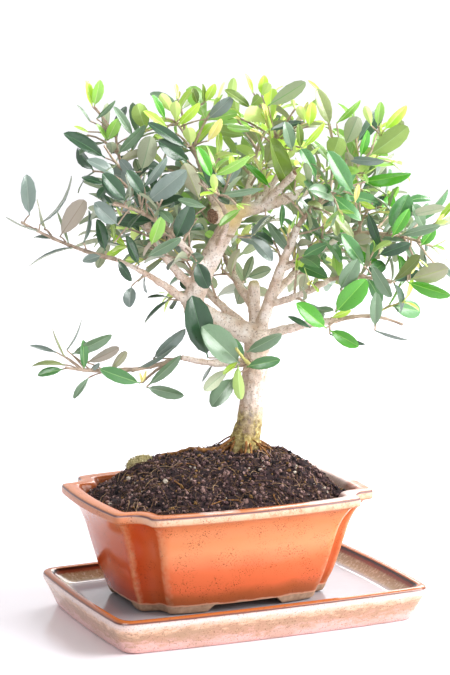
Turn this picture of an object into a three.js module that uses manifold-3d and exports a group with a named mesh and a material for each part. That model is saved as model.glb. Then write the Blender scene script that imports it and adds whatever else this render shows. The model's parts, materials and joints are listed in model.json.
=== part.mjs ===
// Olive bonsai in a glazed oblong pot that stands on its matching drip tray.
// Millimetres, +Z up. The origin is the middle of the tray's flat underside.
// X runs along the pot's long side.
import * as THREE from "three";
import Module from "manifold-3d";
import { mergeVertices } from "three/addons/utils/BufferGeometryUtils.js";

const wasm = await Module();
wasm.setup();

// Driving sizes
const clearance = 0.3;
const up = new THREE.Vector3(0, 0, 1);
const quarterTurn = Math.PI / 2;
const mergeDistance = 1e-4;
// a square length under this means that a direction is all but upright
const nearlyUpright = 0.01;

// Both vessels: points along each side and corner, the short sides' share of the bow,
// and how fast the corners and the bow shrink with each millimetre of inset
const vesselShape = { sidePoints: 4, cornerPoints: 4, shortBow: 0.6, shrink: 0.012 };

const traySize = {
  length: 157,
  width: 107,
  corner: 7,
  cornerHollow: -2,
  bow: 2.4,
  floor: 10,
  // wall section from the underside, up and over the rim, to the floor: [inset from the rim, height]
  section: [
    [6.5, 0], [5.4, 0.9], [3.4, 6], [1.2, 11], [0, 13.4], [0, 15.7],
    [0.9, 16.7], [2.9, 16.7], [3.8, 16], [4.6, 14.4], [8.6, 11], [11, 10],
  ],
};

const potSize = {
  length: 130,
  width: 98,
  corner: 12.4,
  cornerHollow: 5.6,
  bow: 4.2,
  // wall section from the underside, up the flared wall, over the lip, to the inside floor: [inset, height]
  section: [
    [19.4, 0], [18.2, 1], [17, 5.2], [14.6, 11], [11.5, 23], [8.3, 37], [4.4, 44.2], [2.6, 46],
    [0.4, 46.4], [0, 47.2], [0, 50], [0.9, 51], [5.6, 51], [7, 50], [8.4, 46], [13.6, 37],
    [17.2, 23], [20.2, 12], [23, 9.4],
  ],
  insideRows: 5,
  // the pot stands a little left of the tray's middle
  place: [-7.5, 1.6],
  footHeight: 3.8,
  footGapLong: 39,
  footGapShort: 33,
  footSlope: 3.5,
};

const soilSize = {
  gap: 0.42,
  edge: 46.6,
  crown: 64.8,
  padRadius: 12,
  rings: 5,
  roughness: 1.5,
  seed: 11,
};

// The tree stands right of and behind the pot's middle, its broad side turned to the pot's front left.
const treeSize = {
  trunkSides: 12,
  trunkSteps: 8,
  limbSides: 7,
  limbSteps: 4,
  place: [19.6, 12],
  turn: THREE.MathUtils.degToRad(-23.8),
  footRadius: 7.6,
  footLobes: 5,
  footLobeDepth: 0.2,
  footHeight: 11,
  flarePower: 1.5,
};

// Limbs in the tree's own frame, thickest first. Each grows from a point on its parent to its tip,
// pushed off the straight line by its bow in the middle, and tapers between its two radii.
const limbPlan = [
  {
    name: "trunk",
    tip: [6.6, 0, 58], bow: [1.1, 0, 0], radii: [6.1, 6.2],
  },
  {
    name: "bough_left", parent: "trunk", at: 0.95,
    tip: [-26, -2, 70.5], bow: [-1, -0.6, -1.6], radii: [5.3, 4.9],
  },
  {
    name: "bough_crown", start: [-15.5, 2.5, 112.6],
    tip: [34, 2, 126], bow: [0, 0.5, -2.6], radii: [4.2, 1.9],
  },
  {
    name: "bough_left_riser", parent: "bough_left", at: 0.97,
    tip: [-4, 4.4, 112], bow: [-1.4, 0, 1], radii: [5.2, 4.3],
  },
  {
    name: "bough_right_rise", parent: "trunk", at: 0.93,
    tip: [25, -8, 108], bow: [-0.6, 0.6, 0.6], radii: [3.3, 1.9],
  },
  {
    name: "bough_right", parent: "trunk", at: 0.93,
    tip: [44, -12, 64.3], bow: [0, -0.6, 1.4], radii: [2.6, 1.6],
  },
  {
    name: "stub_rear", parent: "trunk", at: 0.95,
    tip: [4.8, 8.5, 79], bow: [-0.6, 0, 0], radii: [3.3, 2.9],
  },
  {
    name: "bough_left_tip", parent: "bough_left", at: 0.96,
    tip: [-60, -10, 92.8], bow: [1, -1, 1.4], radii: [2.9, 1.5],
  },
  {
    name: "bough_low_left", parent: "trunk", at: 0.76,
    tip: [-29.5, -12, 46.7], bow: [0, -1, -2.4], radii: [2.1, 1.4],
  },
  {
    name: "bough_rear_left", parent: "trunk", at: 0.96,
    tip: [-25, 31, 80], bow: [-1, 2, -1.5], radii: [2.5, 1.5],
  },
  {
    name: "bough_rear", parent: "stub_rear", at: 0.5,
    tip: [-9, 29, 89], bow: [-1.5, 0.5, 1], radii: [2.3, 1.5],
  },
  {
    name: "bough_rear_right", parent: "bough_right_rise", at: 0.36,
    tip: [33, 21, 95], bow: [1.5, -1, 0], radii: [2.1, 1.5],
  },
  {
    name: "bough_left_up", parent: "bough_left_riser", at: 0.16,
    tip: [-47, -5, 113], bow: [-3, 0, -1], radii: [2.4, 1.5],
  },
  {
    name: "bough_left_front", parent: "bough_left_riser", at: 0.42,
    tip: [-31, -20, 104], bow: [0, -1, -1.5], radii: [2.2, 1.5],
  },
  {
    name: "bough_crown_left", parent: "bough_crown", at: 0.12,
    tip: [-20, 4, 131], bow: [-1.5, 0, 0], radii: [2.2, 1.5],
  },
  {
    name: "bough_crown_mid", parent: "bough_crown", at: 0.36,
    tip: [17, 4, 133], bow: [1, 0, -1], radii: [2.1, 1.4],
  },
  {
    name: "bough_crown_rear", parent: "bough_crown", at: 0.3,
    tip: [4, 27, 132], bow: [0, 1, -2], radii: [2.2, 1.5],
  },
  {
    name: "bough_right_side", parent: "bough_right_rise", at: 0.62,
    tip: [46, -6, 104], bow: [0, 0, -1.4], radii: [1.9, 1.4],
  },
  {
    name: "bough_right_mid", parent: "bough_right_rise", at: 0.3,
    tip: [40, -15, 84], bow: [0, -1, -1.4], radii: [1.9, 1.4],
  },
  {
    name: "bough_front", parent: "bough_left_riser", at: 0.66,
    tip: [-8, -19, 112], bow: [0, -1, -1.5], radii: [2, 1.4],
  },
];

// Foliage masses. Each stem runs on from its bough to its end.
// Nothing strays further than the reach from the stem.
const massPlan = [
  { name: "leaves_left_tip", bough: "bough_left_tip", end: [-104, -15, 111], bow: [0, 0, -2], reach: 22 },
  { name: "leaves_left_up", bough: "bough_left_up", end: [-60, -4, 150], bow: [-3, 0, 2], reach: 33 },
  { name: "leaves_left_front", bough: "bough_left_front", end: [-60, -42, 122], bow: [0, 0, 3], reach: 33 },
  { name: "leaves_top_left", bough: "bough_crown_left", end: [-32, 2, 156], bow: [2, 0, 0], reach: 33 },
  { name: "leaves_top_mid", bough: "bough_crown_mid", end: [12, 0, 156], bow: [2, 0, 0], reach: 33 },
  { name: "leaves_top_right", bough: "bough_crown", end: [64, -4, 149], bow: [2, 0, -3], reach: 33 },
  { name: "leaves_right_front", bough: "bough_right_rise", end: [43, -38, 128], bow: [0, 0, 3], reach: 32 },
  { name: "leaves_right_side", bough: "bough_right_side", end: [88, -12, 99], bow: [0, 0, 3], reach: 29 },
  { name: "leaves_right_mid", bough: "bough_right_mid", end: [68, -27, 84], bow: [0, 0, 2], reach: 26 },
  { name: "leaves_right_low", bough: "bough_right", end: [74, -18, 63], bow: [0, 0, 3], reach: 26 },
  { name: "leaves_low_left", bough: "bough_low_left", end: [-84, -19, 43], bow: [0, 0, -4], reach: 22 },
  { name: "leaves_front", bough: "bough_front", end: [-14, -46, 128], bow: [0, 0, 3], reach: 30 },
  { name: "leaves_trunk", bough: "trunk", at: 0.68, end: [-4, -24, 53], bow: [0, -2, -1], reach: 25 },
  { name: "leaves_rear_left", bough: "bough_rear_left", end: [-62, 56, 108], bow: [0, 0, 3], reach: 34 },
  { name: "leaves_rear", bough: "bough_rear", end: [-16, 68, 112], bow: [0, 0, 4], reach: 34 },
  { name: "leaves_rear_right", bough: "bough_rear_right", end: [66, 42, 112], bow: [0, 0, 3], reach: 34 },
  { name: "leaves_top_rear", bough: "bough_crown_rear", end: [10, 46, 151], bow: [0, 2, 0], reach: 34 },
];

// The rule that every mass grows by. Pairs of numbers are the least and the most.
const growth = {
  firstSeed: 101,
  stemRadii: [1.5, 1],
  stemPitch: 7.5,
  twigRadii: [1.1, 0.75],
  twigPitch: 7.5,
  twigShare: [0.6, 1],
  twigAngle: THREE.MathUtils.degToRad(58),
  twigTurn: [-0.35, 0.35],
  twigLift: 0.18,
  collar: 2.4,
  budHeight: 1.2,
  tipLength: 1.2,
  leafTries: 8,
  leafLength: [16, 21],
  leafWidth: 0.44,
  leafWidest: 0.55,
  leafBlunt: 0.86,
  leafThickness: 0.6,
  leafAngle: THREE.MathUtils.degToRad(56),
  tipAngle: THREE.MathUtils.degToRad(34),
  leafTurn: [-0.4, 0.4],
  leafRoll: [-0.7, 0.7],
  leafLift: 0.2,
  leafDroop: 0.1,
};

// How closely shoots and leaves are sampled,
// and the gaps kept to limbs, to shoots and other masses, and to leaves
const spacing = { shoot: 1, leafRows: 16, footRows: 6, leafColumns: 6, limb: 1, mass: 2.4, leaf: 1.5 };

const finishes = {
  bark: new THREE.MeshStandardMaterial({ color: 0xb09a78, roughness: 0.9, metalness: 0 }),
  leaf: new THREE.MeshStandardMaterial({ color: 0x5f7d4a, roughness: 0.55, metalness: 0 }),
  glaze: new THREE.MeshStandardMaterial({ color: 0xc9663a, roughness: 0.2, metalness: 0 }),
  compost: new THREE.MeshStandardMaterial({ color: 0x3a2c24, roughness: 1, metalness: 0 }),
};

// Repeatable random numbers from 0 to 1
function seeded(seed) {
  let state = seed >>> 0;
  return () => {
    state = (state + 0x6d2b79f5) >>> 0;
    let mixed = Math.imul(state ^ (state >>> 15), state | 1);
    mixed ^= mixed + Math.imul(mixed ^ (mixed >>> 7), mixed | 61);
    return ((mixed ^ (mixed >>> 14)) >>> 0) / 4294967296;
  };
}

function vector(list) {
  return new THREE.Vector3(...list);
}

function middle(points) {
  const sum = new THREE.Vector3();
  points.forEach((p) => sum.add(p));
  return sum.divideScalar(points.length);
}

// Closed surface through rings of equal count, each end closed by a fan to its middle
function loft(rings) {
  const count = rings[0].length;
  const points = [...rings.flat(), middle(rings[0]), middle(rings[rings.length - 1])];
  const firstIndex = points.length - 2;
  const lastIndex = points.length - 1;
  const top = (rings.length - 1) * count;
  const index = [];
  for (let i = 0; i < count; i++) {
    const next = (i + 1) % count;
    index.push(firstIndex, next, i);
    for (let r = 0; r < rings.length - 1; r++) {
      const low = r * count;
      const high = low + count;
      index.push(low + i, low + next, high + i, low + next, high + next, high + i);
    }
    index.push(lastIndex, top + i, top + next);
  }
  return new THREE.BufferGeometry().setFromPoints(points).setIndex(index);
}

function toSolid(geometry) {
  const bare = new THREE.BufferGeometry().setAttribute("position", geometry.getAttribute("position"));
  bare.setIndex(geometry.index);
  const merged = mergeVertices(bare, mergeDistance);
  return new wasm.Manifold(
    new wasm.Mesh({
      numProp: 3,
      vertProperties: merged.getAttribute("position").array,
      triVerts: new Uint32Array(merged.index.array),
    }),
  );
}

function toGeometry(solid) {
  const mesh = solid.getMesh();
  return new THREE.BufferGeometry()
    .setAttribute("position", new THREE.BufferAttribute(mesh.vertProperties, 3))
    .setIndex(new THREE.BufferAttribute(mesh.triVerts, 1));
}

// The largest body of a solid, without the scraps a cut leaves
function largest(solid) {
  return solid.decompose().reduce((a, b) => (b.volume() > a.volume() ? b : a));
}

function namedMesh(name, geometry, finish) {
  geometry.computeVertexNormals();
  const mesh = new THREE.Mesh(geometry, finish);
  mesh.name = name;
  return mesh;
}

// Oblong outline with bowed sides, and corners that are hollowed inwards or, below zero, rounded outwards
function oblong({ length, width, corner, cornerHollow, bow }) {
  const x = length / 2;
  const y = width / 2;
  const points = [];
  const stretch = (from, to, push, count) => {
    const along = new THREE.Vector2().subVectors(to, from);
    const outwards = new THREE.Vector2(along.y, -along.x).normalize();
    for (let i = 0; i < count; i++) {
      const t = i / count;
      const swell = push * (1 - (2 * t - 1) ** 2);
      points.push(from.clone().addScaledVector(along, t).addScaledVector(outwards, swell));
    }
  };
  const ends = [
    [-x + corner, -y], [x - corner, -y], [x, -y + corner], [x, y - corner],
    [x - corner, y], [-x + corner, y], [-x, y - corner], [-x, -y + corner],
  ].map((p) => new THREE.Vector2(...p));
  ends.forEach((from, i) => {
    const to = ends[(i + 1) % ends.length];
    if (i % 2) stretch(from, to, -cornerHollow, vesselShape.cornerPoints);
    else stretch(from, to, i % 4 ? bow * vesselShape.shortBow : bow, vesselShape.sidePoints);
  });
  return points;
}

// The outline of a vessel at an inset from its rim: the corners and the bow shrink as it narrows
function vesselRing(size, inset, height) {
  const shrink = 1 - inset * vesselShape.shrink;
  return oblong({
    length: size.length - 2 * inset,
    width: size.width - 2 * inset,
    corner: size.corner * shrink,
    cornerHollow: size.cornerHollow * shrink,
    bow: size.bow * shrink,
  }).map((p) => new THREE.Vector3(p.x, p.y, height));
}

function vessel(size) {
  return loft(size.section.map(([inset, height]) => vesselRing(size, inset, height)));
}

function buildTray() {
  return namedMesh("tray", vessel(traySize), finishes.glaze);
}

// A bar with sloping ends that leaves the gap between two feet, along X
function footGap(gap, length) {
  const { footHeight, footSlope } = potSize;
  const below = 1;
  const low = gap / 2 + (footSlope * below) / footHeight;
  const high = gap / 2 - footSlope;
  const shape = new THREE.Shape([
    new THREE.Vector2(-low, -below), new THREE.Vector2(low, -below),
    new THREE.Vector2(high, footHeight), new THREE.Vector2(-high, footHeight),
  ]);
  const bar = new THREE.ExtrudeGeometry(shape, { depth: length, bevelEnabled: false });
  return bar.translate(0, 0, -length / 2).rotateX(Math.PI / 2);
}

function buildPot() {
  const { length, footGapLong, footGapShort } = potSize;
  const across = toSolid(footGap(footGapLong, length));
  const along = toSolid(footGap(footGapShort, length).rotateZ(Math.PI / 2));
  const solid = toSolid(vessel(potSize)).subtract(across).subtract(along);
  return namedMesh("pot", toGeometry(solid), finishes.glaze);
}

// Compost that fills the pot and heaps up to a level pad under the trunk
function buildSoil() {
  const random = seeded(soilSize.seed);
  const inside = potSize.section.slice(-potSize.insideRows).reverse();
  const rings = inside.map(([inset, height], i) =>
    vesselRing(potSize, inset + soilSize.gap, i ? height : height + clearance),
  );
  const last = inside.length - 1;
  rings[last].forEach((p) => (p.z = soilSize.edge));
  const edge = rings[last];
  const pad = new THREE.Vector2(...treeSize.place);
  for (let r = 1; r <= soilSize.rings; r++) {
    const t = r / soilSize.rings;
    const heap = Math.sin((t * Math.PI) / 2);
    const ring = edge.map((p) => {
      const outwards = new THREE.Vector2(p.x, p.y).sub(pad).normalize().multiplyScalar(soilSize.padRadius);
      const lump = r < soilSize.rings ? (random() - 0.5) * soilSize.roughness : 0;
      return new THREE.Vector3(
        THREE.MathUtils.lerp(p.x, pad.x + outwards.x, t),
        THREE.MathUtils.lerp(p.y, pad.y + outwards.y, t),
        THREE.MathUtils.lerp(soilSize.edge, soilSize.crown - clearance, heap) + lump,
      );
    });
    rings.push(ring);
  }
  return namedMesh("soil", loft(rings), finishes.compost);
}

// A curve from start to tip whose middle is pushed off the straight line by its bow
function bowed(start, tip, bow) {
  const control = start.clone().add(tip).multiplyScalar(0.5).addScaledVector(bow, 2);
  return new THREE.QuadraticBezierCurve3(start, control, tip);
}

// A tapering round limb along a curve, longer and thicker all over by grow
function taper(curve, radii, sides, steps, grow = 0, radiusAt = (t) => THREE.MathUtils.lerp(...radii, t)) {
  const frames = curve.computeFrenetFrames(steps);
  const rings = [];
  for (let i = 0; i <= steps; i++) {
    const t = i / steps;
    const centre = curve.getPointAt(t);
    const overshoot = i === 0 ? -grow : i === steps ? grow : 0;
    centre.addScaledVector(frames.tangents[i], overshoot);
    const ring = [];
    for (let s = 0; s < sides; s++) {
      const angle = (2 * Math.PI * s) / sides;
      const radius = radiusAt(t, angle) + grow;
      ring.push(
        centre
          .clone()
          .addScaledVector(frames.normals[i], Math.cos(angle) * radius)
          .addScaledVector(frames.binormals[i], Math.sin(angle) * radius),
      );
    }
    rings.push(ring);
  }
  return rings;
}

const limbs = new Map();

// The trunk's radius, with its root flare spreading in lobes at the foot
function trunkRadius(t, angle) {
  const { footRadius, footLobes, footLobeDepth, footHeight, flarePower } = treeSize;
  const [low, high] = limbPlan[0].radii;
  const stem = THREE.MathUtils.lerp(low, high, t);
  const flare = Math.max(0, 1 - (t * limbPlan[0].tip[2]) / footHeight) ** flarePower;
  const lobe = 1 + footLobeDepth * Math.cos(footLobes * angle);
  return stem + (footRadius * lobe - low) * flare;
}

function limbRings(plan, curve, grow) {
  const { trunkSides, trunkSteps, limbSides, limbSteps } = treeSize;
  if (plan.name !== "trunk") return taper(curve, plan.radii, limbSides, limbSteps, grow);
  const rings = taper(curve, plan.radii, trunkSides, trunkSteps, grow, trunkRadius);
  // the foot is cut level with the ground
  rings[0].forEach((p) => (p.z = -grow));
  return rings;
}

// Each limb starts inside its parent and is cut back to sit just clear of every limb made before it
function buildLimb(plan) {
  const parent = limbs.get(plan.parent);
  const start = parent ? parent.curve.getPointAt(plan.at) : vector(plan.start ?? [0, 0, 0]);
  const curve = bowed(start, vector(plan.tip), vector(plan.bow));
  let solid = toSolid(loft(limbRings(plan, curve, 0)));
  for (const other of limbs.values()) solid = solid.subtract(other.grown);
  const grown = toSolid(loft(limbRings(plan, curve, clearance)));
  limbs.set(plan.name, { curve, grown, radii: plan.radii });
  return namedMesh(plan.name, toGeometry(largest(solid)), finishes.bark);
}

// A curve's own frame: the tangent at t and two directions square to it that don't spin along the curve
function frameAt(curve, t) {
  const tangent = curve.getTangentAt(t);
  const chord = curve.getPointAt(1).sub(curve.getPointAt(0)).normalize();
  const level = new THREE.Vector3().crossVectors(up, chord);
  if (level.lengthSq() < nearlyUpright) level.set(1, 0, 0);
  level.addScaledVector(tangent, -level.dot(tangent)).normalize();
  return { tangent, level, rise: new THREE.Vector3().crossVectors(tangent, level) };
}

// A unit vector square to a curve at t, turned about it by an angle
function outwardsAt(curve, t, angle) {
  const { level, rise } = frameAt(curve, t);
  return level.multiplyScalar(Math.cos(angle)).addScaledVector(rise, Math.sin(angle));
}

// A direction that leaves a curve at t, sideways by its turn, at an angle from the curve and lifted a little
function branchAt(curve, t, turn, angle, lift) {
  return curve
    .getTangentAt(t)
    .multiplyScalar(Math.cos(angle))
    .addScaledVector(outwardsAt(curve, t, turn), Math.sin(angle))
    .addScaledVector(up, lift)
    .normalize();
}

function between(range, random) {
  return THREE.MathUtils.lerp(...range, random());
}

// A four-sided shoot with a node for each pair of buds. The pairs stand a quarter turn apart.
function makeShoot(curve, radii, phase, pitch) {
  const length = curve.getLength();
  const halfBud = growth.budHeight / 2 / length;
  const count = Math.max(1, Math.round(length / pitch));
  const nodes = [];
  for (let k = 1; k <= count; k++) {
    const t = (k / count) * (1 - halfBud);
    nodes.push({ t, faces: [k % 2, (k % 2) + 2], buds: [], last: k === count });
  }
  return { curve, radii, phase, length, halfBud, nodes };
}

// The corners of a shoot at t: its faces look along its phase and the three quarter turns from there
function shootRing(shoot, t) {
  const centre = shoot.curve.getPointAt(t);
  const radius = THREE.MathUtils.lerp(...shoot.radii, t);
  return [0, 1, 2, 3].map((corner) => {
    const angle = shoot.phase + (corner - 0.5) * quarterTurn;
    return outwardsAt(shoot.curve, t, angle).multiplyScalar(radius).add(centre);
  });
}

// The two rings of a shoot that a node's buds break out between
function budRings(shoot, node) {
  return [shootRing(shoot, node.t - shoot.halfBud), shootRing(shoot, node.t + shoot.halfBud)];
}

// The corners of the face that a bud breaks out of, seen from outside
function budRoot([low, high], face) {
  const next = (face + 1) % low.length;
  return [low[face], low[next], high[next], high[face]];
}

// A side twig out of a face of its stem, turned so that its corners run on from that face's corners
function growTwig(stem, node, face, reach, random) {
  const root = budRoot(budRings(stem, node), face);
  const start = middle(root);
  const turn = stem.phase + face * quarterTurn + between(growth.twigTurn, random);
  const direction = branchAt(stem.curve, node.t, turn, growth.twigAngle, growth.twigLift);
  const longest = reach - growth.leafLength[0];
  const tip = start.clone().addScaledVector(direction, longest * between(growth.twigShare, random));
  const curve = new THREE.LineCurve3(start, tip);
  const { level, rise } = frameAt(curve, 0);
  const corner = root[0].clone().sub(start);
  const phase = Math.atan2(corner.dot(rise), corner.dot(level)) + quarterTurn / 2;
  return makeShoot(curve, growth.twigRadii, phase, growth.twigPitch);
}

// A leaf out of a face of its shoot: its root, direction, upper face, size and widest section
function growLeaf(shoot, node, face, random) {
  const corners = budRoot(budRings(shoot, node), face);
  const turn = shoot.phase + face * quarterTurn + between(growth.leafTurn, random);
  const angle = node.last ? growth.tipAngle : growth.leafAngle;
  const along = branchAt(shoot.curve, node.t, turn, angle, growth.leafLift);
  const upper = up.clone().addScaledVector(along, -up.dot(along));
  if (upper.lengthSq() < nearlyUpright) upper.set(1, 0, 0).addScaledVector(along, -along.x);
  upper.normalize().applyAxisAngle(along, between(growth.leafRoll, random));
  const side = new THREE.Vector3().crossVectors(upper, along);
  const leaf = { root: middle(corners), along, upper, side, length: between(growth.leafLength, random) };
  const { leafWidest, leafThickness } = growth;
  leaf.section = [
    leafPoint(leaf, leafWidest, 1), leafPoint(leaf, leafWidest, 0, leafThickness / 2),
    leafPoint(leaf, leafWidest, -1), leafPoint(leaf, leafWidest, 0, -leafThickness / 2),
  ];
  return { ...leaf, ...squareFoot(corners, leaf.section) };
}

// How far the faces between a leaf's root and its widest section turn outwards:
// below zero, they are twisted
function openness(root, ring) {
  const start = middle(root);
  const axis = middle(ring).sub(start).normalize();
  const points = strip(root, ring);
  let least = Infinity;
  for (let i = 0; i < points.length; i += 3) {
    const face = new THREE.Triangle(...points.slice(i, i + 3));
    const offset = face.getMidpoint(new THREE.Vector3()).sub(start);
    offset.addScaledVector(axis, -offset.dot(axis));
    least = Math.min(least, offset.dot(face.getNormal(new THREE.Vector3())));
  }
  return least;
}

// The order of a leaf's section that twists its foot least
function squareFoot(root, section) {
  const turned = root.map((_, shift) => root.map((_, i) => section[(i + shift) % section.length]));
  const choices = turned.map((ring) => ({ ring, open: openness(root, ring) }));
  return choices.reduce((best, choice) => (choice.open > best.open ? choice : best));
}

// A point on a leaf: t from root to tip, s across from -1 to 1, raised off the blade's middle
function leafPoint(leaf, t, s, raise = 0) {
  const half = ((leaf.length * growth.leafWidth) / 2) * Math.sin(Math.PI * t * growth.leafBlunt);
  return leaf.root
    .clone()
    .addScaledVector(leaf.along, t * leaf.length)
    .addScaledVector(leaf.upper, raise - growth.leafDroop * leaf.length * t * t)
    .addScaledVector(leaf.side, half * s);
}

function leafSamples(leaf, firstRow, lastRow) {
  const samples = [];
  const { leafRows, leafColumns } = spacing;
  for (let row = firstRow; row <= lastRow; row++)
    for (let column = 0; column <= leafColumns; column++)
      samples.push(leafPoint(leaf, row / leafRows, (2 * column) / leafColumns - 1));
  return samples;
}

function shootSamples(shoot) {
  return shoot.curve.getSpacedPoints(Math.ceil(shoot.length / spacing.shoot));
}

// What is already grown, in cells as wide as the widest gap that is kept
const taken = new Map();
const limbSamples = [];

function cellKey(point, dx = 0, dy = 0, dz = 0) {
  const cell = (value, step) => Math.floor(value / spacing.mass) + step;
  return `${cell(point.x, dx)},${cell(point.y, dy)},${cell(point.z, dz)}`;
}

function claim(samples, mass, shoot) {
  for (const point of samples) {
    const key = cellKey(point);
    if (!taken.has(key)) taken.set(key, []);
    taken.get(key).push({ point, mass, shoot });
  }
}

// True if a point keeps clear of the limbs, of other masses,
// and of its own mass but for the shoot it springs from
function pointIsClear(point, mass, shoot) {
  for (let dx = -1; dx <= 1; dx++)
    for (let dy = -1; dy <= 1; dy++)
      for (let dz = -1; dz <= 1; dz++)
        for (const other of taken.get(cellKey(point, dx, dy, dz)) ?? []) {
          if (other.shoot === shoot) continue;
          const gap = other.mass === mass && !other.shoot ? spacing.leaf : spacing.mass;
          if (point.distanceTo(other.point) < gap) return false;
        }
  return limbSamples.every((limb) => point.distanceTo(limb.point) > limb.radius + spacing.limb);
}

// True if samples stay within the reach of their mass's stem and touch nothing but the shoot they spring from
function fits(samples, space, shoot = null) {
  return samples.every(
    (p) => space.spine.some((q) => p.distanceTo(q) < space.reach) && pointIsClear(p, space.name, shoot),
  );
}

function strip(low, high) {
  return low.flatMap((p, i) => {
    const next = (i + 1) % low.length;
    return [p, low[next], high[i], low[next], high[next], high[i]];
  });
}

function cone(ring, tip) {
  return ring.flatMap((p, i) => [p, ring[(i + 1) % ring.length], tip]);
}

// A leaf's triangles: a blunt blade with a diamond section
function leafTriangles(leaf, root) {
  const [right, above, left, below] = leaf.section;
  const tipRight = leafPoint(leaf, 1, 1);
  const tipLeft = leafPoint(leaf, 1, -1);
  return [
    ...strip(root, leaf.ring),
    right, above, tipRight, above, tipLeft, tipRight, above, left, tipLeft,
    left, below, tipLeft, below, tipRight, tipLeft, below, right, tipRight,
  ];
}

// The triangles of a shoot and of all that grows on it, running on from its root or closed by a flat cut
function shootTriangles(shoot, root) {
  let low = shootRing(shoot, root ? growth.collar / shoot.length : 0);
  const triangles = root ? strip(root, low) : cone([...low].reverse(), middle(low));
  for (const node of shoot.nodes) {
    if (!node.buds.some(Boolean)) continue;
    const rings = budRings(shoot, node);
    triangles.push(...strip(low, rings[0]));
    for (let face = 0; face < low.length; face++) {
      const corners = budRoot(rings, face);
      const bud = node.buds[face];
      if (bud?.curve) triangles.push(...shootTriangles(bud, corners));
      else if (bud) triangles.push(...leafTriangles(bud, corners));
      else triangles.push(corners[0], corners[1], corners[3], corners[1], corners[2], corners[3]);
    }
    low = rings[1];
  }
  const { tangent } = frameAt(shoot.curve, 1);
  triangles.push(...cone(low, shoot.curve.getPointAt(1).addScaledVector(tangent, growth.tipLength)));
  return triangles;
}

// Twigs out of the stem's buds, wherever there is room
function growTwigs(stem, space, random) {
  const twigs = [];
  for (const node of stem.nodes)
    for (const face of node.last ? [] : node.faces) {
      const twig = growTwig(stem, node, face, space.reach, random);
      const samples = shootSamples(twig).slice(1);
      if (!fits(samples, space, stem)) continue;
      claim(samples, space.name, twig);
      node.buds[face] = twig;
      twigs.push(twig);
    }
  return twigs;
}

// Leaves out of a shoot's free buds, each tried a few ways round
function growLeaves(shoot, space, random) {
  for (const node of shoot.nodes)
    for (const face of node.faces) {
      for (let attempt = 0; attempt < growth.leafTries && !node.buds[face]; attempt++) {
        const leaf = growLeaf(shoot, node, face, random);
        const foot = leafSamples(leaf, 1, spacing.footRows);
        const blade = leafSamples(leaf, spacing.footRows + 1, spacing.leafRows);
        if (leaf.open < 0 || !fits(foot, space, shoot) || !fits(blade, space)) continue;
        claim([...foot, ...blade], space.name);
        node.buds[face] = leaf;
      }
    }
}

// One mass: its stem meets its bough just clear of it, and a twig or leaf that strays or touches is left out
function buildMass(plan, order) {
  const random = seeded(growth.firstSeed + order);
  const bough = limbs.get(plan.bough);
  const curve = bowed(bough.curve.getPointAt(plan.at ?? 1), vector(plan.end), vector(plan.bow));
  const stem = makeShoot(curve, growth.stemRadii, random() * quarterTurn, growth.stemPitch);
  const space = { name: plan.name, reach: plan.reach, spine: shootSamples(stem) };
  claim(space.spine, plan.name, stem);
  const twigs = growTwigs(stem, space, random);
  [stem, ...twigs].forEach((shoot) => growLeaves(shoot, space, random));
  let solid = toSolid(new THREE.BufferGeometry().setFromPoints(shootTriangles(stem)));
  for (const limb of limbs.values()) solid = solid.subtract(limb.grown);
  return namedMesh(plan.name, toGeometry(largest(solid)), finishes.leaf);
}

function buildTree() {
  const tree = new THREE.Group();
  limbPlan.forEach((plan) => tree.add(buildLimb(plan)));
  for (const limb of limbs.values()) {
    const points = limb.curve.getSpacedPoints(Math.ceil(limb.curve.getLength() / spacing.shoot));
    points.forEach((point, i) => {
      const radius = THREE.MathUtils.lerp(...limb.radii, i / (points.length - 1));
      limbSamples.push({ point, radius });
    });
  }
  massPlan.forEach((plan, order) => tree.add(buildMass(plan, order)));
  tree.position.set(...treeSize.place, soilSize.crown);
  tree.rotation.z = treeSize.turn;
  return tree;
}

const olive = new THREE.Group();
olive.add(buildTray());
const planted = new THREE.Group();
planted.add(buildPot(), buildSoil(), buildTree());
planted.position.set(...potSize.place, traySize.floor + clearance);
olive.add(planted);

export default olive;
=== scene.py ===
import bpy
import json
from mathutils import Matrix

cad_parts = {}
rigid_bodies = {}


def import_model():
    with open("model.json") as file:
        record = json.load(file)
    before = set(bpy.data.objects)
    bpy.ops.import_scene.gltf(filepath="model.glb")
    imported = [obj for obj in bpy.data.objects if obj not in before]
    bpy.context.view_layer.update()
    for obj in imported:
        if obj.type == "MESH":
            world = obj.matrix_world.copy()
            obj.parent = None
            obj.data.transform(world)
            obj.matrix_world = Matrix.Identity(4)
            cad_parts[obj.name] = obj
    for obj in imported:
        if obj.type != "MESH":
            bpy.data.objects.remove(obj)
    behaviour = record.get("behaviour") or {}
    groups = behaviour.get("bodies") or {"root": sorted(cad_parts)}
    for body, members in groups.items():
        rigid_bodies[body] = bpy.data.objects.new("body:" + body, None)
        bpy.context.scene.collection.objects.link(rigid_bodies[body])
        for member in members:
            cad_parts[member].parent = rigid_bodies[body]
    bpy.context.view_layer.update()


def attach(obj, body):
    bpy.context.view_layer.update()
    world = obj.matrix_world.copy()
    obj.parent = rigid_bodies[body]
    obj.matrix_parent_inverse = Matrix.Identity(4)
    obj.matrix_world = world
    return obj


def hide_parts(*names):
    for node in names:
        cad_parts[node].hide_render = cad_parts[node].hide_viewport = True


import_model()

import json
import math
from collections import namedtuple
from functools import partial

import bmesh
import bpy
import numpy as np
from mathutils import Matrix, Vector, noise
from mathutils.bvhtree import BVHTree

# Looks of the olive bonsai. Sizes are in millimetres, and each mesh is made in metres.
mm = 0.001
fullTurn, quarterTurn = 2 * math.pi, math.pi / 2
up, across = Vector((0, 0, 1)), Vector((1, 0, 0))


# Small tools


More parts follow.
